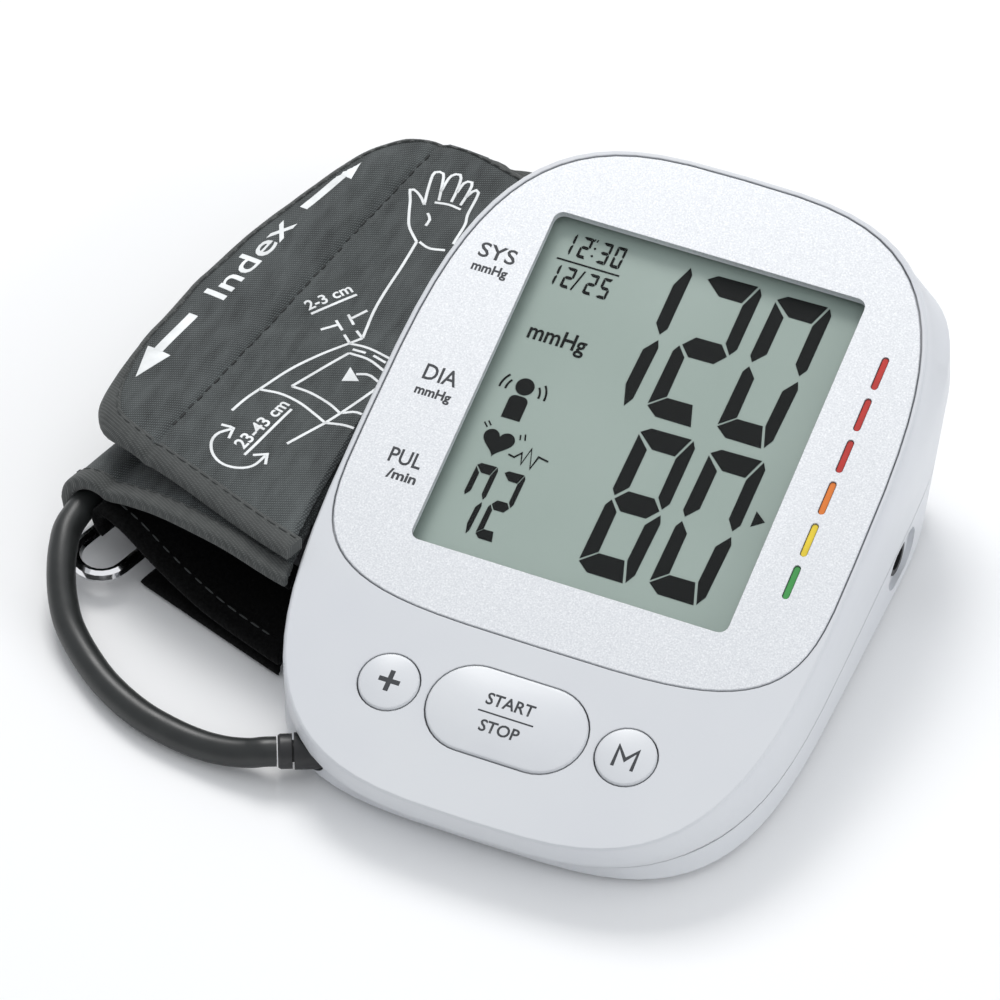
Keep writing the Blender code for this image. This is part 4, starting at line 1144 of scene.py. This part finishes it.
def make_flap_prints():
    points, faces = [], []

    def stroke(line, width=LINE_WIDTH, curved=True):
        spots = smooth_line([Vector(spot) for spot in line], 6) if curved and len(line) > 2 else line
        spots = evenly([Vector(spot) for spot in spots], 1.0)
        add_ribbon(points, faces, spots, width, PRINT_LOW, PRINT_HIGH, flat)

    def straight(line, width=LINE_WIDTH):
        stroke(line, width, False)

    def filled(outline):
        add_prism(points, faces, outline, PRINT_LOW, PRINT_HIGH, flat)

    def words(text, centre, size, turn, weight):
        add_text(points, faces, text, centre, size, PRINT_LOW, PRINT_HIGH, flat, turn, weight)

    # Index band: an arrow at each end with the word between them, along the left edge.
    straight([(-92.8, -41.8), (-94.4, -29.4)], 2.2)
    filled([(-89.6, -41.4), (-95.7, -41.7), (-91.3, -50.0)])
    straight([(-99.0, 8.7), (-99.2, 21.2)], 2.0)
    filled([(-96.7, 21.0), (-99.9, 29.3), (-101.0, 21.0)])
    direction = math.atan2(27.0, -4.0)
    words("Index", (-96.6, -9.6), (27.0, 5.2), direction, 0.07)

    # A hand and forearm, seen from the palm side.
    stroke([(-74.3, 16.4), (-78.3, 18.6), (-80.9, 21.4), (-83.6, 24.8), (-85.6, 27.0), (-84.7, 27.6),
            (-82.6, 27.0), (-80.6, 25.8)])
    stroke([(-80.6, 25.8), (-83.2, 30.0), (-85.2, 34.0), (-84.3, 35.3), (-83.2, 34.8), (-81.0, 31.6),
            (-79.2, 28.8)])
    stroke([(-80.6, 31.0), (-82.0, 35.4), (-81.3, 37.2), (-80.1, 36.8), (-78.2, 33.2), (-77.0, 30.2)])
    stroke([(-77.9, 33.0), (-78.6, 36.0), (-77.9, 37.2), (-77.0, 36.8), (-75.9, 34.0), (-74.9, 30.7)])
    stroke([(-75.6, 33.2), (-75.6, 35.6), (-74.8, 36.2), (-73.9, 34.8), (-71.9, 29.6), (-70.2, 26.8),
            (-68.3, 21.0)])
    stroke([(-79.5, 27.8), (-76.8, 29.3), (-74.0, 29.8)])
    stroke([(-78.4, 24.4), (-76.8, 23.3), (-76.1, 21.2)])
    stroke([(-73.9, 16.8), (-71.2, 16.8), (-68.4, 18.6)])
    stroke([(-74.3, 16.4), (-71.9, 9.2), (-67.8, -3.2), (-65.2, -9.0), (-63.8, -11.8)])

    # The cuff drawn round the upper arm.
    straight([(-63.8, -11.8), (-64.8, -14.8)])
    stroke([(-64.8, -14.8), (-67.3, -21.6), (-69.2, -28.4), (-70.1, -36.0), (-70.3, -40.0), (-70.0, -44.2)])
    stroke([(-70.1, -36.0), (-66.0, -34.1), (-61.3, -33.6), (-56.7, -34.1), (-53.3, -34.6)])
    straight([(-55.5, -43.6), (-53.3, -34.6)])
    stroke([(-53.3, -34.6), (-52.7, -28.9), (-52.2, -19.3)])
    straight([(-62.9, -16.9), (-65.7, -31.1)])
    stroke([(-65.7, -31.1), (-61.6, -30.1), (-56.6, -30.0), (-53.0, -30.6)])
    stroke([(-64.8, -14.8), (-61.0, -13.2), (-55.4, -12.4)])
    stroke([(-62.9, -16.9), (-58.8, -15.6), (-54.4, -15.8)])
    stroke([(-52.6, -30.3), (-51.0, -28.4), (-49.4, -27.9)])
    stroke([(-53.2, -34.5), (-50.1, -32.6), (-48.0, -31.9)])
    straight([(-63.1, -15.6), (-60.4, -14.6)])
    straight([(-58.8, -14.1), (-55.6, -13.9)])
    stroke([(-53.2, -18.8), (-55.9, -18.7), (-57.9, -20.3)])
    filled([(-58.9, -23.6), (-60.1, -19.6), (-56.2, -21.3)])

    # Gap marks above the elbow, and the two sizes.
    for line in (
        [(-72.0, -15.5), (-70.3, -12.3)], [(-71.4, -11.5), (-68.5, -12.8)], [(-67.3, -13.5), (-64.9, -14.6)],
        [(-68.4, -5.3), (-69.4, -9.2)], [(-70.6, -8.7), (-67.8, -10.1)], [(-66.2, -11.0), (-64.0, -11.8)],
        [(-76.6, -13.4), (-73.0, -3.4)], [(-59.9, -51.4), (-61.2, -36.0)],
    ):
        straight(line)
    stroke([(-66.4, -47.6), (-67.8, -50.7), (-67.1, -53.4), (-64.5, -55.6), (-61.3, -56.2), (-58.3, -54.9),
            (-56.5, -52.4), (-56.6, -48.6)])
    straight([(-65.3, -50.2), (-66.5, -47.4), (-68.9, -48.5)])
    straight([(-58.6, -50.3), (-56.6, -48.2), (-54.9, -50.6)])
    words("2-3 cm", (-76.9, -7.7), (10.4, 2.7), math.atan2(10.0, 3.6), 0.08)
    words("23-43 cm", (-62.9, -42.9), (15.2, 2.9), math.atan2(15.4, -1.3), 0.09)
    add_mesh("cuff_prints", *drape(points, faces), PRINT, "cuff", "grey_fabric")


make_flap_prints()


# ---------------------------------------------------------------- ring sleeve

SLEEVE_CENTRE = Vector((-72.1, -10.0, 4.6))


def make_ring_sleeve():
    """The cloth tunnel that holds the ring, slightly puckered where it is sewn."""
    points, faces = [], []
    sides, length = 20, 57.5
    rings = [-length + 2 * length * k / 80 for k in range(81)]
    for radius_base in (2.2, 1.62):
        for n in rings:
            pucker = 0.12 * math.sin(2 * math.pi * n / 3.4) if radius_base > 2.0 else 0.0
            radius = radius_base + min(0.0, pucker)
            for k in range(sides):
                angle = 2 * math.pi * k / sides
                m, z = radius * math.cos(angle), radius * math.sin(angle)
                points.append(cuff(SLEEVE_CENTRE.x + m, SLEEVE_CENTRE.y + n, SLEEVE_CENTRE.z + z))
    inner = len(rings) * sides
    for base, flip in ((0, False), (inner, True)):
        for j in range(len(rings) - 1):
            for k in range(sides):
                a = base + j * sides + k
                b = base + j * sides + (k + 1) % sides
                quad = [a, b, b + sides, a + sides]
                faces.append(quad[::-1] if flip else quad)
    last = (len(rings) - 1) * sides
    for k in range(sides):
        j = (k + 1) % sides
        faces.append([k, inner + k, inner + j, j])
        faces.append([last + k, last + j, inner + last + j, inner + last + k])
    sleeve = add_mesh("ring_sleeve_velvet", points, faces, VELVET, "cuff", "black_fabric")
    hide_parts("ring_sleeve")


make_ring_sleeve()


# ---------------------------------------------------------------- floor, light, world

def make_floor():
    mesh = bpy.data.meshes.new("floor")
    half = 6.0
    corners = [(-half, -half, 0), (half, -half, 0), (half, half, 0), (-half, half, 0)]
    mesh.from_pydata(corners, [], [(0, 1, 2, 3)])
    made = Material("floor_paper", grey(0.93), 0.9)
    made.colour(made.noise(0.4, 2.0), [(0.3, grey(0.925)), (0.7, grey(0.935))])
    mesh.materials.append(made.data)
    floor = bpy.data.objects.new("floor", mesh)
    floor.location.z = -0.0002
    bpy.context.scene.collection.objects.link(floor)


def add_light(name, direction, distance, size, power, colour=(1.0, 1.0, 1.0)):
    data = bpy.data.lights.new(name, "AREA")
    data.shape = "RECTANGLE"
    data.size, data.size_y = size
    data.energy = power
    data.color = colour
    light = bpy.data.objects.new(name, data)
    aim = Vector(direction).normalized()
    light.location = plan(0.0, 0.0, 20.0) + aim * distance
    light.rotation_mode = "QUATERNION"
    light.rotation_quaternion = (-aim).to_track_quat("-Z", "Y")
    bpy.context.scene.collection.objects.link(light)


def make_studio():
    add_light("key_light", (-0.42, 0.62, 0.95), 1.5, (0.6, 0.6), 11.5, (1.0, 0.99, 0.98))
    add_light("top_light", (0.1, 0.0, 1.0), 1.6, (1.6, 1.6), 3.3)
    add_light("right_light", (1.0, -0.15, 0.35), 1.6, (1.0, 0.8), 6.0, (0.97, 0.98, 1.0))
    world = bpy.data.worlds.new("studio")
    bpy.context.scene.world = world
    world.use_nodes = True
    background = world.node_tree.nodes["Background"]
    background.inputs["Color"].default_value = (0.93, 0.96, 1.0, 1.0)
    background.inputs["Strength"].default_value = 0.60
    settings = bpy.context.scene.view_settings
    settings.view_transform = "Standard"
    settings.exposure = 0.0


make_floor()
make_studio()
